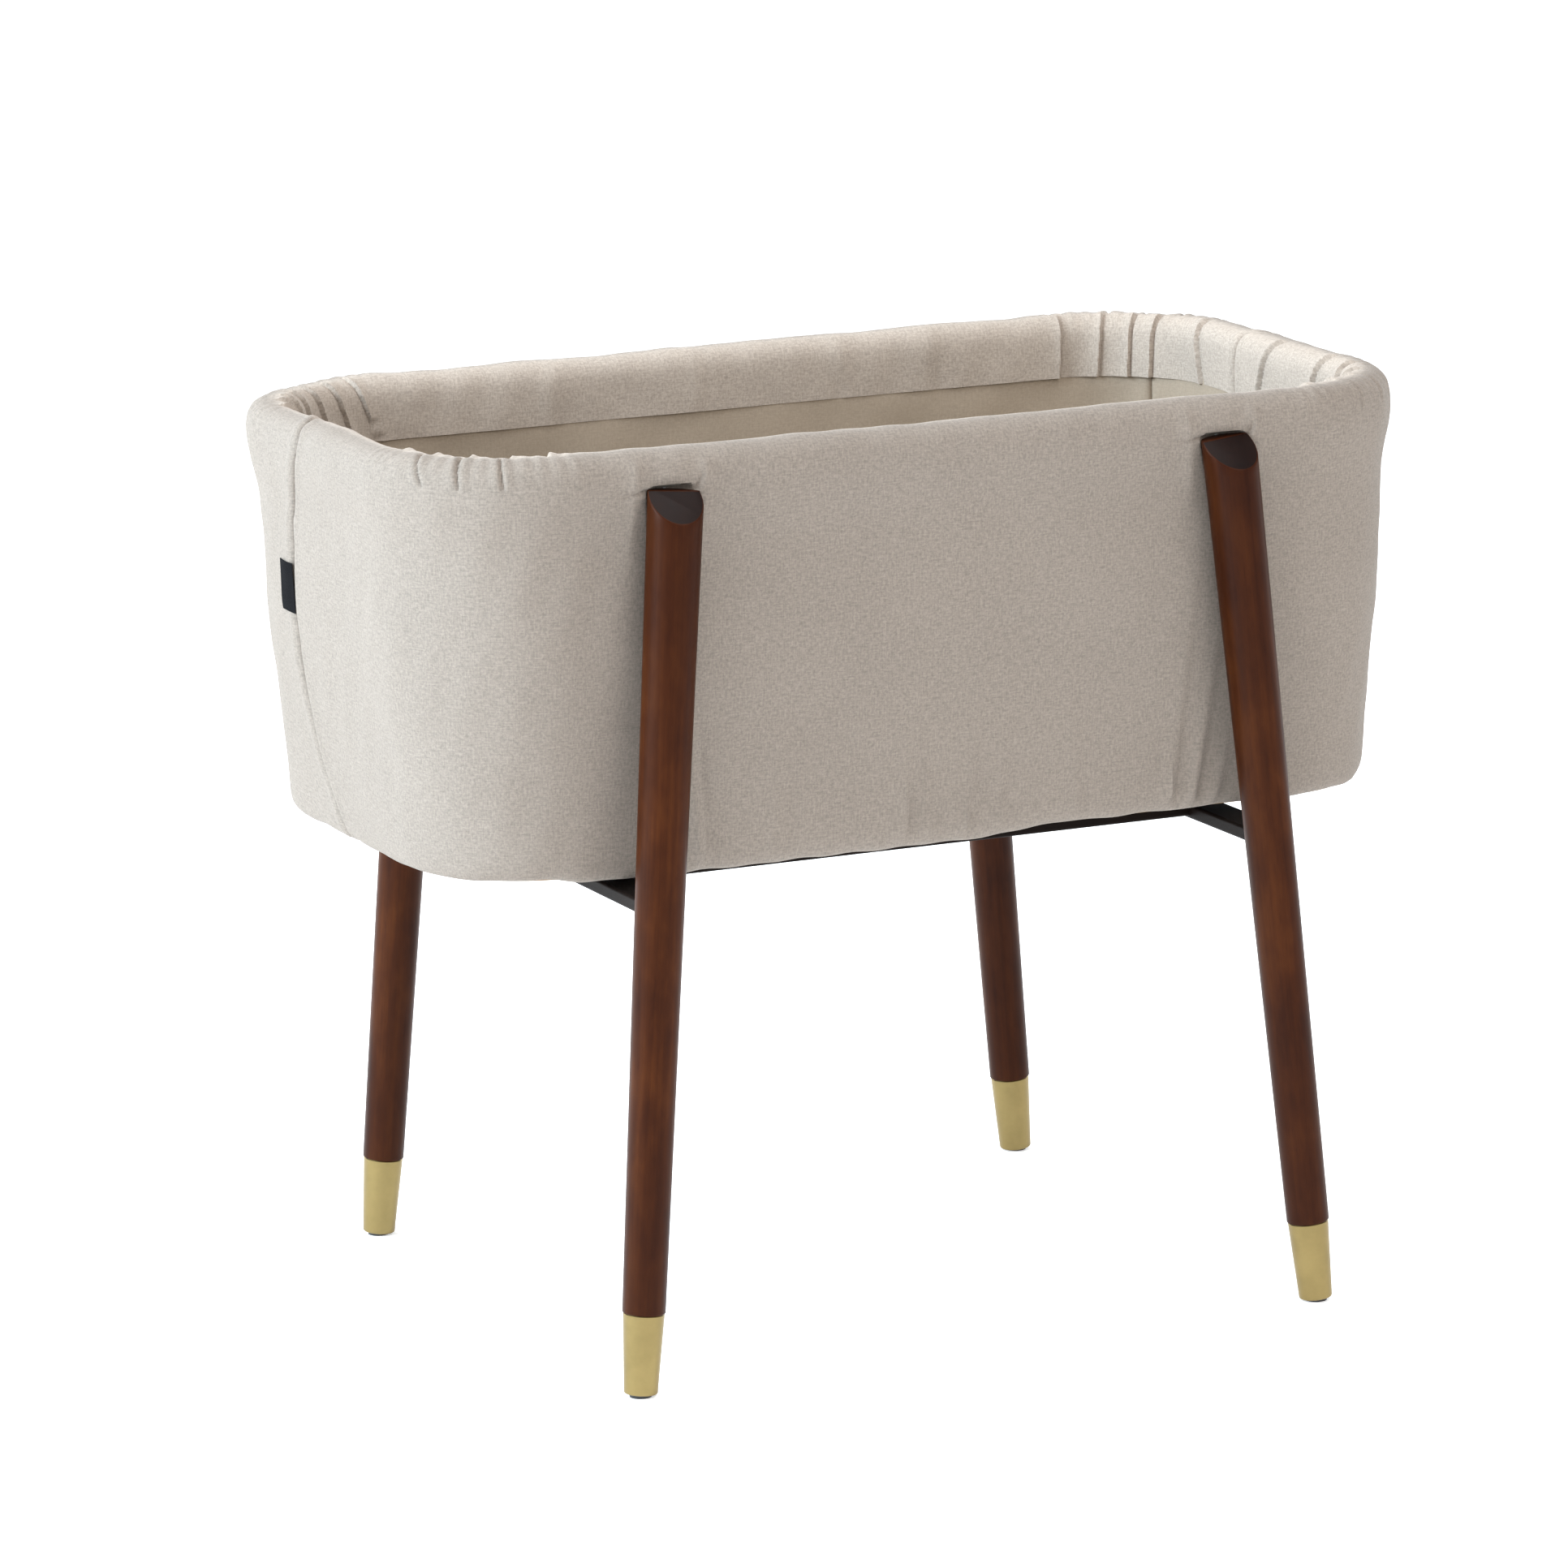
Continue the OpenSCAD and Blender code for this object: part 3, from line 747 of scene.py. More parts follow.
@dataclass(frozen=True)
class Plan:
    """The basket's plan: a core rectangle grown outwards, with a place that runs around it in metres.

    Place 0 is the middle of the left end, and places grow towards the front.
    """

    core_x: float
    core_y: float
    turn_radius: float = 0.125

    @property
    def corner(self) -> float:
        """Length of a corner's arc."""
        return math.pi / 2 * self.turn_radius

    @property
    def breaks(self) -> Array:
        """Places where straights and corners meet."""
        long, short, arc = 2 * self.core_x, 2 * self.core_y, self.corner
        return np.cumsum([0, short / 2, arc, long, arc, short, arc, long, arc, short / 2])

    @property
    def around(self) -> float:
        """Length of the whole plan."""
        return float(self.breaks[-1])

    def place(self, along: Array, radius: Array) -> tuple[Array, Array]:
        """Returns x and y of places at a distance from the core rectangle."""
        x, y, ux, uy = self.frame(along)
        return x + ux * radius, y + uy * radius

    def frame(self, along: Array) -> tuple[Array, Array, Array, Array]:
        """Returns the core point and the outward direction at each place."""
        along = np.mod(along, self.around)
        turn = np.radians([180, 180, 270, 270, 360, 360, 450, 450, 540, 540])
        x = np.array([-1, -1, -1, 1, 1, 1, 1, -1, -1, -1]) * self.core_x
        y = np.array([0, -1, -1, -1, -1, 1, 1, 1, 1, 0]) * self.core_y
        angle = np.interp(along, self.breaks, turn)
        across, deep = (np.interp(along, self.breaks, values) for values in (x, y))
        return across, deep, np.cos(angle), np.sin(angle)

    def ring(self, step: float) -> Array:
        """Returns evenly spaced places once around the plan."""
        return stepped(0, self.around, lambda place: step)[:-1]

    def in_corner(self, number: int, degrees: float) -> float:
        """Returns a place in a corner by its angle from the corner's start; corner 0 is front left."""
        return float(self.breaks[1 + 2 * number]) + self.corner * degrees / 90

    def cornering(self, along: Array) -> Array:
        """Returns 1 inside the corners and 0 on the straights, with a soft change."""
        along = np.mod(along, self.around)
        total = np.zeros_like(along)
        for number in range(4):
            middle = self.in_corner(number, 45)
            total = total + 1 - ease(np.abs(along - middle), self.corner * 0.45, self.corner * 0.62)
        return total


class Outline:
    """A smooth line in a wall's section, with its length as parameter."""

    def __init__(self, points: Sequence[tuple[float, float]], blur: float = 0.003) -> None:
        """Rounds a polyline.

        Args:
            points: Distance from the core rectangle and height of each point, in millimetres.
            blur: How far the corners are rounded.
        """
        step = 0.0005
        coarse = np.array(points) / 1000
        length = run_length(coarse)
        fine = np.arange(0, length[-1], step)
        path = np.column_stack([np.interp(fine, length, coarse[:, i]) for i in (0, 1)])
        reach = int(3 * blur / step)
        kernel = bell(np.arange(-reach, reach + 1) * step, blur)
        kernel /= kernel.sum()
        before = 2 * path[0] - path[reach:0:-1]
        after = 2 * path[-1] - path[-2:-reach - 2:-1]
        padded = np.concatenate([before, path, after])
        self.path = np.column_stack([np.convolve(padded[:, i], kernel, "valid") for i in (0, 1)])
        self.along = run_length(self.path)

    @property
    def length(self) -> float:
        """The line's whole length."""
        return float(self.along[-1])

    def at(self, place: Array) -> tuple[Array, Array, Array, Array]:
        """Returns distance from the core, height and the outward direction in the section."""
        radius, height = (np.interp(place, self.along, self.path[:, i]) for i in (0, 1))
        ahead = np.gradient(self.path, self.along, axis=0)
        dr, dz = (np.interp(place, self.along, ahead[:, i]) for i in (0, 1))
        size = np.hypot(dr, dz)
        return radius, height, dz / size, -dr / size

    def where(self, height: float) -> float:
        """Returns the place where the line first reaches a height."""
        return float(self.along[np.nonzero(self.path[:, 1] >= height)[0][0]])


# Lines in the wall's section: distance from the core rectangle and height of each point, in millimetres. The
# cover's line starts under the hem, goes up the outside, over the rim and down to the cuff's seam.
COVER_OUTLINE = [
    (75.5, 410.7), (98.0, 410.7), (105.5, 412.5), (109.0, 418.0), (111.0, 427.0), (112.8, 450.0),
    (114.0, 471.0), (115.8, 491.0), (117.5, 512.0), (119.8, 535.0), (122.8, 563.0), (126.0, 600.0),
    (127.3, 650.0), (128.2, 676.0), (129.6, 686.0), (131.8, 697.0), (134.4, 708.0), (136.6, 722.0),
    (136.7, 733.0), (134.8, 743.0), (130.4, 749.5), (124.0, 753.8), (116.0, 755.2), (107.0, 754.0),
    (100.0, 749.5), (96.2, 742.0), (95.0, 733.0), (94.8, 718.0), (95.2, 702.0),
]
LINING_OUTLINE = [(97.2, 709.0), (96.3, 700.0), (94.6, 640.0), (91.5, 530.0), (88.8, 430.0), (87.6, 422.0)]
FOAM_OUTLINE = [
    (100.5, 423.5), (106.0, 432.0), (120.5, 592.0), (122.5, 680.0), (130.0, 715.0), (130.0, 735.0),
    (126.0, 744.0), (115.5, 749.0), (105.0, 744.0), (101.0, 735.0), (100.5, 700.0), (94.0, 423.5),
]
# The end seam's path up the outside: heights, and how far behind an end's middle it runs at each, in metres.
SEAM_HEIGHTS = (0.415, 0.424, 0.475, 0.527, 0.561, 0.600, 0.630, 0.670, 0.700, 0.730, 0.743, 0.757)
SEAM_BEHIND = (0.014, 0.018, 0.052, 0.0685, 0.071, 0.0715, 0.070, 0.066, 0.047, 0.030, 0.029, 0.038)
SEAM_BEHIND_INSIDE = 0.055


@dataclass(frozen=True)
class Fold:
    """One fold or dart across the rim: its place at its two ends, and its sizes."""

    first: float
    last: float
    low: float
    high: float
    height: float
    width: float

    def _across(self, along: Array, row: Array) -> Array:
        """Returns how far each point lies past the fold's line."""
        share = np.clip((row - self.low) / (self.high - self.low), 0, 1)
        return along - (self.first + (self.last - self.first) * share)

    def _window(self, row: Array, start: float, stop: float) -> Array:
        """Returns 1 along the fold's length and 0 past its ends, which fade over start and stop."""
        risen = ease(row, self.low - 0.004, self.low + start)
        return risen * (1 - ease(row, self.high - stop, self.high + stop))

    def lift(self, along: Array, row: Array) -> Array:
        """Returns the lift of a fold with one sharp side.

        Args:
            along: Places around the basket.
            row: Places up the section.

        Returns:
            The lift at each point.
        """
        past = self._across(along, row) * np.sign(self.width)
        face = ease(past, -0.0010, 0.0010) * np.exp(-np.maximum(past, 0) / abs(self.width))
        return self.height * self._window(row, 0.006, 0.004) * (face - 0.35 * bell(past + 0.0012, 0.0016))

    def groove(self, along: Array, row: Array) -> Array:
        """Returns the lift of a stitched dart: a narrow groove between two soft puffs."""
        across = self._across(along, row)
        puff = 0.35 * self.height * bell(np.abs(across) - 0.0045, 0.0035)
        return self._window(row, 0.004, 0.003) * (puff - self.height * bell(across, self.width))


class Wall:
    """The shape of the fabric wall: the cover over the outside and the rim, and its folds."""

    # Angles are degrees from a corner's start, at the top and the bottom of a dart or a pleat; pleat_angles
    # is by corner. end_pleats are metres from the right end's middle, at top and bottom. rear_pleats are
    # metres along the rear, the lean, and the side that the sharp edge faces. hem_folds are x, lean, strength.
    hem = 0.412
    crown_height = 0.7545
    dart_foot = 0.734
    dart_angles = ((25.6, 32.9), (44.2, 46.9), (60.3, 62.2))
    pleat_angles = {
        0: ((12, 14), (30, 33), (47, 49), (64, 66), (80, 82)),
        1: ((10, 8), (27, 25), (43, 41), (60, 58), (78, 76)),
        2: ((7.5, 0), (35.6, 37), (48, 49.5), (63, 66), (84.8, 86.6)),
        3: ((10, -4), (23, 9), (36, 23), (49, 38), (61, 52), (72, 64), (84, 78)),
    }
    end_pleats = ((-0.012, 0.012), (-0.103, -0.080))
    rear_pleats = ((0.11, 0.006, 1), (0.205, -0.004, -1), (0.33, 0.005, 1), (0.47, 0.008, -1))
    hem_folds = ((-0.040, 0.10, 1.0), (-0.014, -0.05, 0.8), (0.016, 0.12, 1.1), (0.048, 0.06, 0.9),
                 (0.202, 0.10, 1.0), (0.222, 0.16, 1.2), (0.243, 0.20, 0.9), (-0.214, -0.1, 0.8),
                 (-0.150, 0.05, 0.5), (0.120, -0.08, 0.5))
    hem_fold_depth = 0.0044
    rear_shift = 0.03
    crease_depth = 0.0021
    creases = ((-1, -0.024, -0.004), (1, 0.0064, 0.012))
    sag_depth = 0.0050

    def __init__(self, plan: Plan, legs: Sequence[LegLine]) -> None:
        """Prepares the section and the folds.

        Args:
            plan: The basket's plan.
            legs: The four legs that press into it.
        """
        self.plan = plan
        self.legs = legs
        self.cover = Outline(COVER_OUTLINE)
        self.crown = self.cover.where(self.crown_height)
        self.darts = self._darts()
        self.pleats = self._pleats()

    def _darts(self) -> list[Fold]:
        """Returns the stitched darts over the outside of the rim's corners."""
        low, high = self.cover.where(self.dart_foot), self.crown + 0.006
        place = self.plan.in_corner
        found = []
        for number in range(4):
            mirrored = number % 2 == 1
            depth = 0.0012 if mirrored else 0.0024
            for top, bottom in self.dart_angles:
                top, bottom = (90 - top, 90 - bottom) if mirrored else (top, bottom)
                found.append(Fold(place(number, bottom), place(number, top), low, high, depth, 0.0011))
        return found

    def _pleats(self) -> list[Fold]:
        """Returns the pleats inside the rim, between its crown and the cuff's seam."""
        low, high = self.crown + 0.009, self.cover.length + 0.004
        place = self.plan.in_corner
        middle, start = self.plan.breaks[4] + self.plan.core_y, self.plan.breaks[6]
        found = []
        for number, pairs in self.pleat_angles.items():
            width = -0.009 if number == 3 else 0.015
            for top, bottom in pairs:
                found.append(Fold(place(number, top), place(number, bottom), low, high, 0.0036, width))
        for top, bottom in self.end_pleats:
            found.append(Fold(middle + top, middle + bottom, low, high, 0.0034, 0.020))
        for along, lean, side in self.rear_pleats:
            found.append(Fold(start + along, start + along + lean, low, high, 0.0013, 0.012 * side))
        return found

    def seam(self, row: Array, end: Side) -> Array:
        """Returns the place of an end seam at each row of the section."""
        _, height, _, _ = self.cover.at(row)
        outside = np.interp(height, SEAM_HEIGHTS, SEAM_BEHIND)
        rolled = ease(row, self.crown - 0.004, self.crown + 0.016)
        behind = outside + (SEAM_BEHIND_INSIDE - outside) * rolled
        return -behind if end is Side.LEFT else self.plan.around / 2 + behind

    def lift(self, along: Array, row: Array) -> Array:
        """Returns how far the cloth stands off its smooth section.

        Args:
            along: Places around the basket.
            row: Places up the section.

        Returns:
            The lift at each point.
        """
        radius, height, _, _ = self.cover.at(row)
        outside = 1 - ease(row, self.crown - 0.01, self.crown + 0.01)
        loose = ease(row, 0.03, 0.08)
        x, y = self.plan.place(along, radius)
        lift = 0.0010 * waves(along, row, 0.17, 3) * loose
        lift = lift + 0.0004 * waves(along, row, 0.045, 8) * loose
        for dart in self.darts:
            lift = lift + dart.groove(along, row)
        for pleat in self.pleats:
            lift = lift + pleat.lift(along, row)
        gathers = np.sin(math.tau * along / 0.0145 + 1.5 * waves(along, 0 * along, 0.06, 5))
        lift = lift + 0.0004 * gathers * self.plan.cornering(along) * bell(row - self.crown, 0.020)
        lift = lift + self._hem_folds(x, y, height) * outside
        for leg in self.legs:
            lift = lift + self._pull(leg, x, y, height) * outside
        return lift

    def _hem_folds(self, x: Array, y: Array, height: Array) -> Array:
        """Returns soft upright folds that rise from the hem."""
        total = np.zeros_like(x + height)
        above = height - self.hem
        fade = ease(above, 0.0, 0.018) * np.exp(-np.maximum(above - 0.018, 0) / 0.060)
        for place, lean, size in self.hem_folds:
            across = np.where(y < 0, x, -x + self.rear_shift) - place - lean * above
            total = total + size * (bell(across, 0.0055) - 0.8 * bell(across - 0.0085, 0.0045))
        return self.hem_fold_depth * fade * total + 0.0009 * waves(x, y, 0.055, 44) * bell(above, 0.012)

    def _pull(self, leg: LegLine, x: Array, y: Array, height: Array) -> Array:
        """Returns the puffs beside a leg and the creases at the corners of its slot."""
        own = np.sign(y) == leg.end
        leg_x, _, thick = leg.at(height)
        across = x - leg_x
        beside = ease(height, 0.655, 0.70) * (1 - ease(height, 0.738, 0.752))
        lift = 0.0020 * bell(np.abs(across) - (thick + 0.0075), 0.0060) * beside
        corner_x, _, corner_r = leg.at(leg.top)
        for side, dx, dz in self.creases:
            from_x, from_z = x - corner_x - side * corner_r * 0.96, height - leg.top - 0.001
            share = np.clip((from_x * dx + from_z * dz) / (dx * dx + dz * dz), 0, 1)
            away = np.hypot(from_x - share * dx, from_z - share * dz)
            crease = bell(away, 0.0016) * (1 - share) ** 0.7 - 0.45 * bell(away - 0.0045, 0.003) * (1 - share)
            lift = lift - self.crease_depth * crease
        return (lift + 0.0014 * bell(across, thick) * bell(height - 0.733, 0.005)) * own

    def pressed(self, x: Array, y: Array, height: Array, room: float) -> Array:
        """Returns y pressed in behind the legs.

        Args:
            x: Points' x.
            y: Points' y.
            height: Points' heights.
            room: Clearance around a leg.

        Returns:
            The new y of each point.
        """
        for leg in self.legs:
            leg_x, leg_y, thick = leg.at(height)
            across, around = np.abs(x - leg_x), thick + room
            depth = np.sqrt(np.maximum(around**2 - across**2, 0))
            limit = np.where(across < around, np.abs(leg_y) - depth, FAR)
            corner = 0.004 * np.clip(across / around, 0, 1) ** 4
            below = 1 - ease(height, leg.top + 0.0034 - corner, leg.top + 0.0048 - corner)
            inward = soft_min(np.abs(y), limit, 0.0015)
            y = y + (np.sign(y) * inward - y) * (np.sign(y) == leg.end) * below
        return y

    def points(self, along: Array, row: Array, room: float = 0.0006) -> Array:
        """Returns the cloth's outer face at places around and up the wall."""
        radius, height, nr, nz = self.cover.at(row)
        lift = self.lift(along, row)
        radius, height = radius + nr * lift, height + nz * lift
        x, y = self.plan.place(along, radius)
        height = height - self._sag(x, y, radius, height)
        return spread(x, self.pressed(x, y, height, room), height)

    def _sag(self, x: Array, y: Array, radius: Array, height: Array) -> Array:
        """Returns how far the bottom edge hangs down along one part of the front."""
        part = ease(x, -0.36, -0.26) * (1 - ease(x, 0.035, 0.095)) * (y < 0)
        return self.sag_depth * part * (1 - ease(height, 0.415, 0.455)) * ease(radius, 0.082, 0.100)


# ---------------------------------------------------------------------- the pieces


class SubAssembly:
    """Pieces that are built together and ride on one body."""

    body: str = BODY

    def __init__(self, finishes: Finishes, wall: Wall) -> None:
        """Keeps what every sub-assembly is built from.

        Args:
            finishes: The shared finishes.
            wall: The fabric wall's shape, with the basket's plan and the measured legs.
        """
        self.finishes = finishes
        self.wall = wall
        self.plan = wall.plan
        self.legs = wall.legs

    def settle(self, piece: Any, slot: str, *nodes: str) -> None:
        """Fixes a finished piece to its body.

        Args:
            piece: The mesh object.
            slot: Not used.
            nodes: CAD nodes that it stands for.
        """
        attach(piece, self.body)
        if nodes:
            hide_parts(*nodes)
        faces = len(piece.data.polygons)
        LOG.info("%s: %d faces, replaces %s", piece.name, faces, ", ".join(nodes) or "nothing")


@dataclass(frozen=True)
class LegSizes:
    """Sizes along a leg, in metres."""

    ferrule_length: float = 0.068
    tenon_radius: float = 0.01165
    tenon_start: float = 0.0100
    bevel_height: float = 0.022
    bevel_depth: float = 0.028
    edge: float = 0.0009
    sides: int = 72


class Legs(SubAssembly):
    """Four turned wooden legs with a sloping cut across the outer side of each head."""

    sizes = LegSizes()

    def build(self) -> None:
        """Builds the four legs."""
        for line in self.legs:
            self._leg(line)

    def _leg(self, line: LegLine) -> None:
        """Builds one leg."""
        sizes, axis = self.sizes, line.axis
        length = line.top / axis.z + 0.0005
        thin = line.foot_radius + line.growth * sizes.ferrule_length * axis.z
        thick = line.foot_radius + line.growth * line.top
        steps = np.linspace(sizes.ferrule_length + sizes.edge, length, 24)
        radii = thin + (thick - thin) * (steps - steps[0]) / (length - steps[0])
        profile = [(sizes.tenon_start, 0.0), (sizes.tenon_start, sizes.tenon_radius),
                   (sizes.ferrule_length, sizes.tenon_radius), (sizes.ferrule_length, thin - sizes.edge),
                   *zip(steps, radii), (length, 0.0)]
        name = leg_name("leg", line.side, line.end)
        piece = lathe(f"{name}_turned", line, profile, sizes.sides, self.finishes.wood)
        self._cut_head(piece, line, thick)
        piece.data.materials.append(self.finishes.end_grain)
        slope = self._slope(line)
        for face in piece.data.polygons:
            if face.normal.dot(slope) > FLAT and face.center.z > line.top - 0.04:
                face.material_index = 1
        places = co_ordinates(piece) - np.array(line.foot)
        up = places @ np.array(axis)
        across = places - up[:, None] * np.array(axis)
        grain = np.column_stack([across[:, 0], across[:, 1], up])
        add_vectors(piece, "grain", grain + 0.37 * line.side + line.end)
        self.settle(piece, "stained_wood", name)

    def _slope(self, line: LegLine) -> Vector:
        """Returns the direction square to the cut across a leg's head."""
        return Vector((0, line.end * self.sizes.bevel_height, self.sizes.bevel_depth)).normalized()

    def _cut_head(self, piece: Any, line: LegLine, thick: float) -> None:
        """Cuts the sloping face across a leg's head and breaks its edge."""
        x, y, _ = line.at(line.top)
        through = Vector((x, y + line.end * thick, line.top - self.sizes.bevel_height))
        slope = self._slope(line)
        with editing(piece) as work:
            everything = [*work.verts, *work.edges, *work.faces]
            bmesh.ops.bisect_plane(work, geom=everything, plane_co=through, plane_no=slope, clear_outer=True)
            bmesh.ops.holes_fill(work, edges=[edge for edge in work.edges if edge.is_boundary], sides=0)
            bmesh.ops.recalc_face_normals(work, faces=work.faces)
            cut = [edge for edge in work.edges if len(edge.link_faces) == 2
                   and any(face.normal.dot(slope) > FLAT for face in edge.link_faces)]
            bmesh.ops.bevel(work, geom=cut, offset=self.sizes.edge, segments=3, affect="EDGES", profile=0.5)
        smooth(piece)


def lathe(name: str, line: LegLine, profile: Sequence[tuple[float, float]], sides: int, material: Any) -> Any:
    """Turns a profile about a leg's axis.

    Args:
        name: The piece's name.
        line: The leg.
        profile: Distance up the axis from the floor and radius, bottom to top.
        sides: Sides of the round section.
        material: Its finish.

    Returns:
        The object, closed and facing out.
    """
    axis = line.axis
    across = Vector((1, 0, 0)) - axis * axis.x
    across.normalize()
    around = axis.cross(across)
    points: list[Vector] = []
    rings: list[list[int]] = []
    for up, radius in profile:
        start = len(points)
        for number in range(sides if radius else 1):
            turn = math.tau * number / sides
            out = across * math.cos(turn) + around * math.sin(turn)
            points.append(line.foot + axis * up + out * radius)
        rings.append(list(range(start, len(points))))
    faces: list[list[int]] = []
    for low, high in zip(rings, rings[1:]):
        for number in range(sides):
            after = (number + 1) % sides
            corners = [ring[place % len(ring)] for ring, place in
                       ((low, number), (low, after), (high, after), (high, number))]
            faces.append(list(dict.fromkeys(corners)))
    made = new_object(name, np.array([tuple(point) for point in points]), faces, material)
    outward(made)
    smooth(made)
    return made


@dataclass(frozen=True)
class FerruleSizes:
    """Sizes of a ferrule, in metres; foot and top are places up the leg's axis."""

    foot: float = 0.0022
    foot_radius: float = 0.01375
    top: float = 0.0678
    top_radius: float = 0.01675
    bore: float = 0.0118
    rounding: float = 0.0019
    edge: float = 0.0006
    sides: int = 72

    def profile(self) -> list[tuple[float, float]]:
        """Returns the closed section, from the bore's top down and around the rounded foot."""
        curve = [(self.foot + self.rounding * (1 - math.cos(turn)),
                  self.foot_radius - self.rounding * (1 - math.sin(turn)))
                 for turn in np.linspace(0, math.pi / 2, 7)]
        return [(self.top, self.bore), (self.foot, self.bore), *curve,
                (self.top - self.edge, self.top_radius), (self.top, self.top_radius - self.edge),
                (self.top, self.bore)]


class Ferrules(SubAssembly):
    """Four tapered brass ferrules with a rounded foot and a broken upper edge."""

    sizes = FerruleSizes()

    def build(self) -> None:
        """Builds the four ferrules."""
        for line in self.legs:
            name = leg_name("ferrule", line.side, line.end)
            piece = lathe(f"{name}_turned", line, self.sizes.profile(), self.sizes.sides, self.finishes.brass)
            with editing(piece) as work:
                bmesh.ops.remove_doubles(work, verts=work.verts, dist=1e-6)
                bmesh.ops.recalc_face_normals(work, faces=work.faces)
            smooth(piece)
            self.settle(piece, "brass", name)


class Hardware(SubAssembly):
    """The CAD nodes that keep their own shape: rails, board, ring and fixings."""

    def build(self) -> None:
        """Gives each node its procedural finish."""
        finishes = self.finishes
        brackets = [leg_name("leg_bracket", side, end) for side in Side for end in End]
        rails = ["cross_rail_left", "cross_rail_right", "long_rail_front", "long_rail_rear"]
        steel = ["rail_studs", "rail_end_plugs", "ring_half_left", "ring_half_right", "ring_spigots",
                 "ring_screws", "leg_bolts", "base_screws", *brackets]
        dressed = {
            "dark_rail": (finishes.rail, rails),
            "zinc_steel": (finishes.zinc, steel),
            "insert_brass": (finishes.insert, ["leg_inserts"]),
            "plywood": (finishes.plywood, ["base_board"]),
            "nylon": (finishes.nylon, ["foot_glides"]),
        }
        for slot, (material, names) in dressed.items():
            for name in names:
                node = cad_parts[name]
                node.data.materials.clear()
                node.data.materials.append(material)
                LOG.info("%s: finished as %s", name, slot)


def half_places(wall: Wall, start: float, stop: float) -> Array:
    """Returns places around half of the wall, closer together at legs, corners and the seams at its ends.

    Args:
        wall: The wall's shape.
        start: The first place.
        stop: The last place.

    Returns:
        The places.
    """
    plan, breaks = wall.plan, wall.plan.breaks
    beside = [breaks[2] + plan.core_x + leg.at(0.70)[0] if leg.end is End.FRONT
              else breaks[6] + plan.core_x - leg.at(0.70)[0] for leg in wall.legs]

    def spacing(place: float) -> float:
        """Returns the gap that follows a place."""
        inside = place % plan.around
        if min(abs(inside - leg) for leg in beside) < 0.036:
            return 0.0017
        if min(abs(place - seam) for seam in (start, stop)) < 0.008:
            return 0.0009
        straight = breaks[2] < inside < breaks[3] or breaks[6] < inside < breaks[7]
        return 0.0060 if straight else 0.0014

    return stepped(start, stop, spacing)


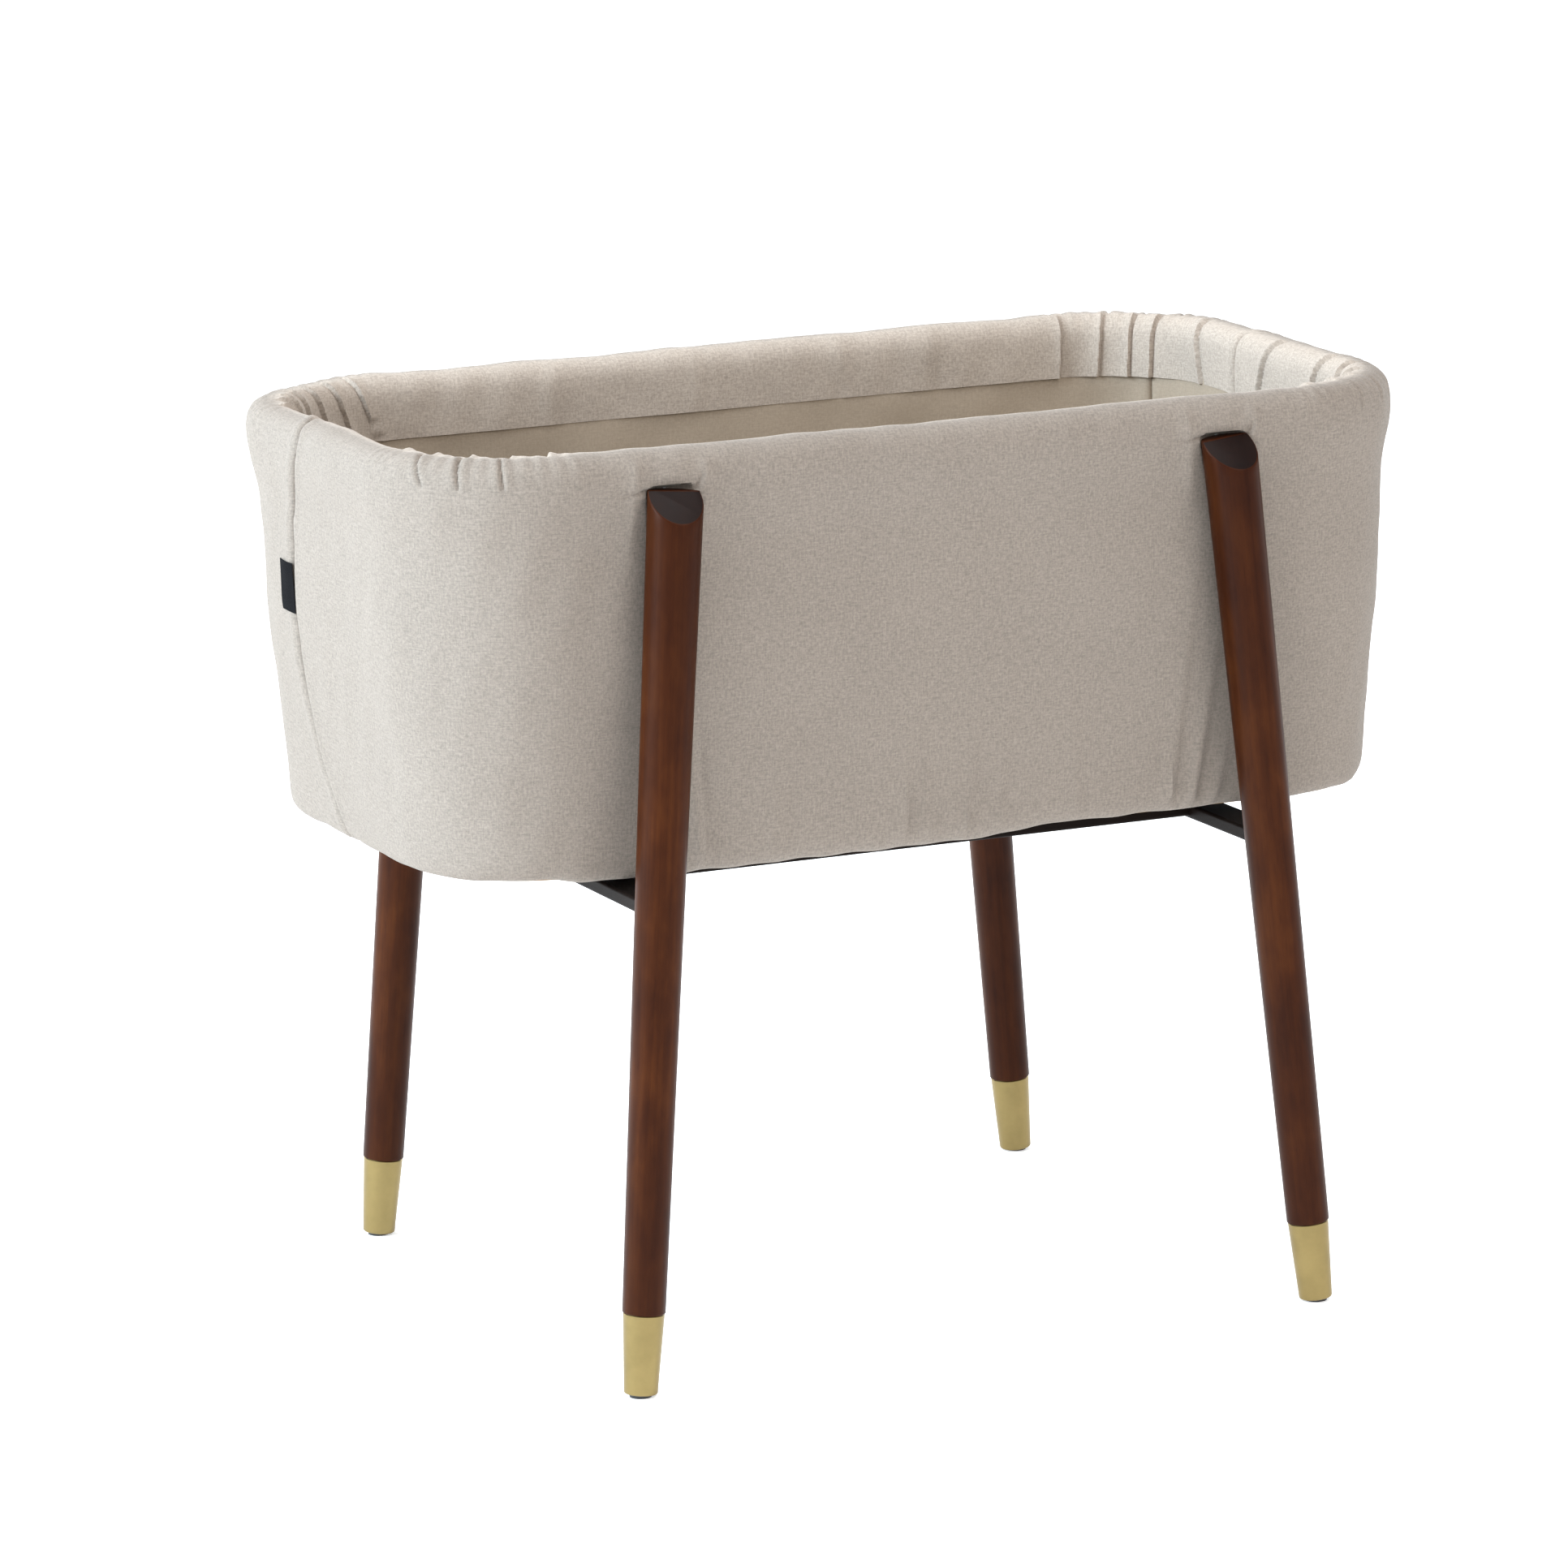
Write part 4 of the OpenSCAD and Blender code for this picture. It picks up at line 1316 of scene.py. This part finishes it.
class Cover(SubAssembly):
    """The outer cover's two halves, over the outside and the rim, with the foam behind them and the label."""

    reach = 0.060
    thickness = 0.0012
    blend = 0.16
    seam_roll = 0.0034
    foam_gap = 0.002
    foam_room = 0.006
    foam_step = 0.007
    foam_turn = 7
    label_start, label_stop = 0.0975, 0.0675
    label_bow = 0.0007
    label_rows, label_columns = 15, 11

    def build(self) -> None:
        """Builds the covers, the foam and the label."""
        halves = [self._half(end) for end in End]
        for end in End:
            self._foam(end)
        self._label(halves[0])

    def _span(self, end: End, gap: float = 0.0) -> tuple[float, float]:
        """Returns where a half starts and stops; the front half runs past the ends' middles by the reach."""
        half, around = self.plan.around / 2, self.plan.around
        if end is End.FRONT:
            return gap - self.reach, half + self.reach - gap
        return half + self.reach + gap, around - self.reach - gap

    def _rows(self) -> Array:
        """Returns places up the section, closer together at the legs' heads and on the rim."""
        cover = self.wall.cover
        hem, low, high = cover.where(0.430), cover.where(0.690), cover.where(0.7335)

        def spacing(place: float) -> float:
            """Returns the gap that follows a place."""
            if low < place < high:
                return 0.0013
            if place > high:
                return 0.0024
            return 0.0035 if place < hem else 0.0060

        return stepped(0, cover.length, spacing)

    def _half(self, end: End) -> Any:
        """Builds half of the cover and returns it."""
        wall, plan = self.wall, self.plan
        rows = self._rows()[:, None]
        start, stop = self._span(end)
        columns = half_places(wall, start, stop)[None, :]
        first, last = (Side.LEFT, Side.RIGHT) if end is End.FRONT else (Side.RIGHT, Side.LEFT)
        turn = plan.around if end is End.REAR else 0
        shift_start = wall.seam(rows, first) - start
        shift_stop = wall.seam(rows, last) + turn - stop
        along = columns + shift_start * (1 - ease(columns - start, 0.0, self.blend)) \
            + shift_stop * (1 - ease(stop - columns, 0.0, self.blend))
        edge = np.minimum(columns - start, stop - columns)
        _, _, ux, uy = plan.frame(along)
        _, _, nr, nz = wall.cover.at(rows)
        roll = self.seam_roll * np.exp(-edge / 0.0016) - 0.0010 * bell(edge - 0.008, 0.005)
        points = wall.points(along, rows) - spread(ux * nr * roll, uy * nr * roll, nz * roll)
        # The third number is 1 past the crown, inside the basket, where the cover's colour is painted paler to
        # stand in for light.
        cloth = spread(columns, rows, ease(rows, wall.crown, wall.crown + 0.012))
        name = f"outer_cover_{end.name.lower()}"
        piece = sheet_grid(f"{name}_cloth", points, cloth, self.thickness, self.finishes.cover)
        self.settle(piece, "cover_fabric", name)
        stop - start + 0.02
        return piece

    def _foam(self, end: End) -> None:
        """Builds the foam behind half of the cover."""
        outline = np.array([*FOAM_OUTLINE, FOAM_OUTLINE[0]], float) / 1000
        length = run_length(outline)
        steps = np.linspace(0, length[-1], 90, endpoint=False)[:, None]
        radius, height = (np.interp(steps, length, outline[:, i]) for i in (0, 1))
        columns = np.arange(*self._span(end, self.foam_gap), self.foam_step)[None, :]
        x, y = self.plan.place(columns, radius)
        outer = (steps <= length[self.foam_turn]).astype(float)
        y = y + (self.wall.pressed(x, y, height + 0 * x, self.foam_room) - y) * outer
        points = spread(x, y, height)
        index = np.arange(x.size).reshape(x.shape)
        after = np.roll(index, -1, axis=0)
        faces = quads(index[:, :-1], index[:, 1:], after[:, 1:], after[:, :-1]).tolist()
        faces += [index[:, 0].tolist(), index[::-1, -1].tolist()]
        piece = new_object(f"wall_foam_{end.name.lower()}", points.reshape(-1, 3), faces, self.finishes.foam)
        outward(piece)
        self.settle(piece, "foam", f"wall_padding_{end.name.lower()}")

    def _label(self, cover: Any) -> None:
        """Builds the blank label beside the left end's seam."""
        wall = self.wall
        low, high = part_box("side_label")
        rows = np.linspace(wall.cover.where(low.z), wall.cover.where(high.z), self.label_rows)[:, None]
        back = np.linspace(self.label_start, self.label_stop, self.label_columns)
        columns = self.plan.around - back[None, :]
        points = wall.points(columns, rows)
        across = np.sin(np.linspace(0, math.pi, self.label_columns))[None, :]
        bow = self.label_bow * across * np.linspace(0.4, 1.4, self.label_rows)[:, None]
        points[..., 0] -= 0.0008 + bow
        piece = sheet_grid("side_label_tape", points, spread(columns, rows, 0.0), 0.0005, self.finishes.label)
        self.settle(piece, "label_fabric", "side_label")


class Lining(SubAssembly):
    """The four lining panels inside the basket, from the cuff's seam to the base board."""

    seam_degrees = 38.0
    thickness = 0.001

    def build(self) -> None:
        """Builds the four panels, whose seams lie in the corners."""
        place, around = self.plan.in_corner, self.plan.around
        near, far = self.seam_degrees, 90 - self.seam_degrees
        seams = (place(0, near), place(1, far), place(2, near), place(3, far), place(0, near) + around)
        for number, side in enumerate(("front", "right", "rear", "left")):
            self._panel(f"lining_{side}", seams[number], seams[number + 1])

    def _panel(self, name: str, start: float, stop: float) -> None:
        """Builds one panel between two seams."""
        outline = Outline(LINING_OUTLINE, 0.004)
        rows = stepped(0, outline.length, lambda place: 0.006)[:, None]

        def spacing(place: float) -> float:
            """Returns the gap that follows a place."""
            return 0.0016 if min(place - start, stop - place) < 0.008 else 0.005

        columns = stepped(start, stop, spacing)[None, :]
        radius, height, nr, nz = outline.at(rows)
        edge = np.minimum(columns - start, stop - columns)
        hold = ease(rows, 0.0, 0.03) * (1 - ease(rows, outline.length - 0.02, outline.length))
        lift = 0.0014 * waves(columns, rows, 0.11, 21) * hold - 0.0032 * np.exp(-edge / 0.0020)
        lift = lift + 0.0010 * bell(edge - 0.010, 0.008) * hold
        x, y = self.plan.place(columns, radius + nr * lift)
        points, cloth = spread(x, y, height + nz * lift), spread(columns, rows, 0.0)
        piece = sheet_grid(f"{name}_cloth", points, cloth, self.thickness, self.finishes.lining)
        self.settle(piece, "lining_fabric", name)
        stop - start


class BottomCloth(SubAssembly):
    """The thin dark cloth under the base board, inside the cover's hem."""

    thickness = 0.0009
    hang = 0.0004

    def build(self) -> None:
        """Builds the cloth with a slight sag between its screws."""
        low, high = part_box("bottom_cloth")
        radius = high.y - self.plan.core_y
        columns = self.plan.ring(0.008)
        shrink = np.linspace(1.0, 0.06, 26)[:, None]
        x, y = self.plan.place(columns[None, :], np.array([[radius]]))
        x, y = x * shrink, y * shrink
        sag = self.hang * waves(x, y, 0.12, 31) * ease(1 - shrink, 0.0, 0.08)
        top = spread(x, y, low.z + 0.0013 + sag)
        rings = np.concatenate([top[::-1], top - np.array([0, 0, self.thickness])])
        index = np.arange(rings.shape[0] * len(columns)).reshape(-1, len(columns))
        after = np.roll(index, -1, axis=1)
        faces = quads(index[:-1], after[:-1], after[1:], index[1:]).tolist()
        faces += [index[0].tolist(), index[-1, ::-1].tolist()]
        piece = new_object("bottom_cloth_sheet", rings.reshape(-1, 3), faces, self.finishes.dust_cloth)
        outward(piece)
        self.settle(piece, "bottom_cloth", "bottom_cloth")


@dataclass(frozen=True)
class CushionSettings:
    """Settings of the mattress's cloth simulation."""

    voxel: float = 0.0060
    pressure: float = 4.0
    frames: int = 16
    cap: float = 0.0045
    inset: float = 0.0035
    foot: float = 0.0015
    held_height: float = 0.004
    held_radius: float = 0.074
    piping_radius: float = 0.0021


class Mattress(SubAssembly):
    """The loose mattress: a thin cushion, blown up as cloth, with piped edges."""

    body = MATTRESS_BODY
    settings = CushionSettings()

    def build(self) -> None:
        """Builds the cushion and its two lines of piping."""
        low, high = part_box("mattress_cover")
        inset, cap = self.settings.inset, self.settings.cap
        radius = high.y - self.plan.core_y - inset
        seams = (low.z + self.settings.foot, high.z - inset)
        piece = self._slab(*seams, radius)
        rest = co_ordinates(piece)
        self._blow_up(piece, seams)
        moved = co_ordinates(piece) - rest
        size = np.linalg.norm(moved, axis=1, keepdims=True)
        capped = moved * (cap * np.tanh(size / cap) / np.maximum(size, TINY))
        sunk = np.maximum(capped[:, 2], -0.001)
        capped[:, 2] = np.where(rest[:, 2] < low.z + 0.01, sunk, capped[:, 2])
        piece.data.vertices.foreach_set("co", (rest + capped).astype(np.float32).ravel())
        add_vectors(piece, "cloth", np.column_stack([rest[:, 0], rest[:, 1] + rest[:, 2], 0 * rest[:, 0]]))
        smooth(piece, 60)
        self.settle(piece, "mattress_fabric", "mattress_core", "mattress_cover")
        for label, height in (("top", high.z - inset - 0.0005), ("bottom", low.z + 0.0022)):
            self._piping(label, height, radius)

    def _slab(self, low: float, high: float, radius: float) -> Any:
        """Returns a closed slab with the basket's plan, in even small faces."""
        columns = self.plan.ring(0.008)
        x, y = self.plan.place(columns, np.full_like(columns, radius))
        count = len(columns)
        points = np.concatenate([np.column_stack([x, y, np.full_like(x, z)]) for z in (low, high)])
        side = [[i, (i + 1) % count, (i + 1) % count + count, i + count] for i in range(count)]
        faces = [*side, list(range(count))[::-1], list(range(count, 2 * count))]
        piece = new_object("mattress", points, faces, self.finishes.mattress)
        remesh = piece.modifiers.new("even_faces", "REMESH")
        remesh.mode = "VOXEL"
        remesh.voxel_size = self.settings.voxel
        apply_modifiers(piece)
        return piece

    def _blow_up(self, piece: Any, seams: tuple[float, float]) -> None:
        """Runs the cloth simulation with the seams held.

        Args:
            piece: The slab.
            seams: Heights of the two seams.
        """
        pins = piece.vertex_groups.new(name="pins")
        for vertex in piece.data.vertices:
            x = max(abs(vertex.co.x) - self.plan.core_x, 0.0)
            y = max(abs(vertex.co.y) - self.plan.core_y, 0.0)
            level = min(abs(vertex.co.z - seam) for seam in seams) < self.settings.held_height
            if level and math.hypot(x, y) > self.settings.held_radius:
                pins.add([vertex.index], 1.0, "REPLACE")
        cloth = piece.modifiers.new("stuffing", "CLOTH")
        settings = cloth.settings
        settings.vertex_group_mass = "pins"
        settings.quality = 4
        settings.use_pressure = True
        settings.uniform_pressure_force = self.settings.pressure
        settings.effector_weights.gravity = 0.0
        settings.tension_stiffness = 40
        settings.compression_stiffness = 15
        settings.bending_stiffness = 0.4
        cloth.point_cache.frame_start = 1
        cloth.point_cache.frame_end = self.settings.frames
        for number in range(1, self.settings.frames + 1):
            bpy.context.scene.frame_set(number)
        apply_modifiers(piece)
        bpy.context.scene.frame_set(1)
        LOG.info("mattress: cloth simulation of %d frames done", self.settings.frames)

    def _piping(self, label: str, height: float, radius: float) -> None:
        """Builds one line of piping around the mattress."""
        columns = self.plan.ring(0.006)
        x, y = self.plan.place(columns, np.full_like(columns, radius + 0.0005))
        path = np.column_stack([x, y, np.full_like(x, height)])
        piping = bead(f"mattress_piping_{label}", path, self.settings.piping_radius, self.finishes.mattress)
        self.settle(piping, "mattress_fabric")


def apply_modifiers(piece: Any) -> None:
    """Replaces a piece's mesh with what its modifiers make of it."""
    graph = bpy.context.evaluated_depsgraph_get()
    made = bpy.data.meshes.new_from_object(piece.evaluated_get(graph), depsgraph=graph)
    materials = list(piece.data.materials)
    old = piece.data
    piece.modifiers.clear()
    piece.data = made
    if not made.materials:
        for material in materials:
            made.materials.append(material)
    bpy.data.meshes.remove(old)


# ---------------------------------------------------------------------- the studio


@dataclass(frozen=True)
class SoftBox:
    """One square studio light."""

    name: str
    place: Colour
    size: float
    power: float
    colour: Colour = (1.0, 1.0, 1.0)

    def build(self, target: Vector) -> None:
        """Adds the light, aimed at a target."""
        data = bpy.data.lights.new(self.name, "AREA")
        data.shape = "SQUARE"
        data.size = self.size
        data.energy = self.power
        data.color = self.colour
        light = add_object(self.name, data)
        light.location = self.place
        light.rotation_euler = (target - Vector(self.place)).to_track_quat("-Z", "Y").to_euler()


@dataclass(frozen=True)
class Camera:
    """Where the bassinet is seen from."""

    place: Colour = (-2.7748, -6.1862, 1.8330)
    ahead: Colour = (0.39575, 0.89529, -0.20454)
    roll_degrees: float = -1.2542
    lens: float = 190.67
    sensor: float = 36.0

    def build(self) -> None:
        """Adds the camera and makes it the scene's own."""
        data = bpy.data.cameras.new("view")
        data.lens = self.lens
        data.sensor_width = self.sensor
        data.clip_end = 100.0
        camera = add_object("view", data)
        camera.location = self.place
        level = Vector(self.ahead).to_track_quat("-Z", "Y")
        camera.rotation_mode = "QUATERNION"
        camera.rotation_quaternion = level @ Quaternion((0, 0, 1), math.radians(self.roll_degrees))
        bpy.context.scene.camera = camera


class Studio:
    """A plain pale floor, soft lights and the camera."""

    lights = (
        SoftBox("key", (-3.8, 0.15, 2.3), 2.0, 315.0, (0.76, 0.90, 1.0)),
        SoftBox("front_fill", (0.9, -3.4, 3.0), 2.4, 62.0, (1.0, 0.97, 0.93)),
        SoftBox("top", (0.2, -0.3, 3.6), 2.0, 52.0),
        SoftBox("rear_edge", (-0.9, 4.2, 2.5), 1.8, 95.0, (0.93, 0.97, 1.0)),
        SoftBox("right_edge", (3.4, 2.6, 1.7), 1.4, 55.0, (0.80, 0.92, 1.0)),
    )

    def __init__(self, finishes: Finishes) -> None:
        """Keeps the shared finishes."""
        self.finishes = finishes

    def build(self) -> None:
        """Adds the floor, the world, the lights and the camera."""
        half = 30.0
        corners = np.array([(-half, -half, 0), (half, -half, 0), (half, half, 0), (-half, half, 0)])
        floor = new_object("studio_floor", corners, [[0, 1, 2, 3]], self.finishes.floor)
        world = bpy.data.worlds.new("studio")
        world.use_nodes = True
        background = world.node_tree.nodes["Background"]
        background.inputs["Color"].default_value = (1.0, 1.0, 1.0, 1.0)
        background.inputs["Strength"].default_value = 0.65
        scene = bpy.context.scene
        scene.world = world
        scene.view_settings.view_transform = "Standard"
        target = Vector((0.0, 0.0, 0.45))
        for light in self.lights:
            light.build(target)
        Camera().build()


# ---------------------------------------------------------------------- the whole object


class Bassinet:
    """The whole bassinet, built from its sub-assemblies."""

    corner_radius = 0.136

    def __init__(self) -> None:
        """Measures the frame."""
        _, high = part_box("outer_cover_front")
        _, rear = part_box("outer_cover_rear")
        plan = Plan(high.x - self.corner_radius, rear.y - self.corner_radius)
        legs = [LegLine.measured(side, end) for side in Side for end in End]
        self.wall = Wall(plan, legs)
        self.finishes = Finishes()

    def build(self) -> None:
        """Builds every piece."""
        for kind in (Legs, Ferrules, Hardware, Cover, Lining, BottomCloth, Mattress):
            kind(self.finishes, self.wall).build()


def main() -> None:
    """Builds the bassinet and its studio."""
    logging.basicConfig(level=logging.INFO, format="%(name)s %(message)s")
    bassinet = Bassinet()
    bassinet.build()
    Studio(bassinet.finishes).build()
    bpy.context.view_layer.update()


if __name__ == "__main__":
    main()
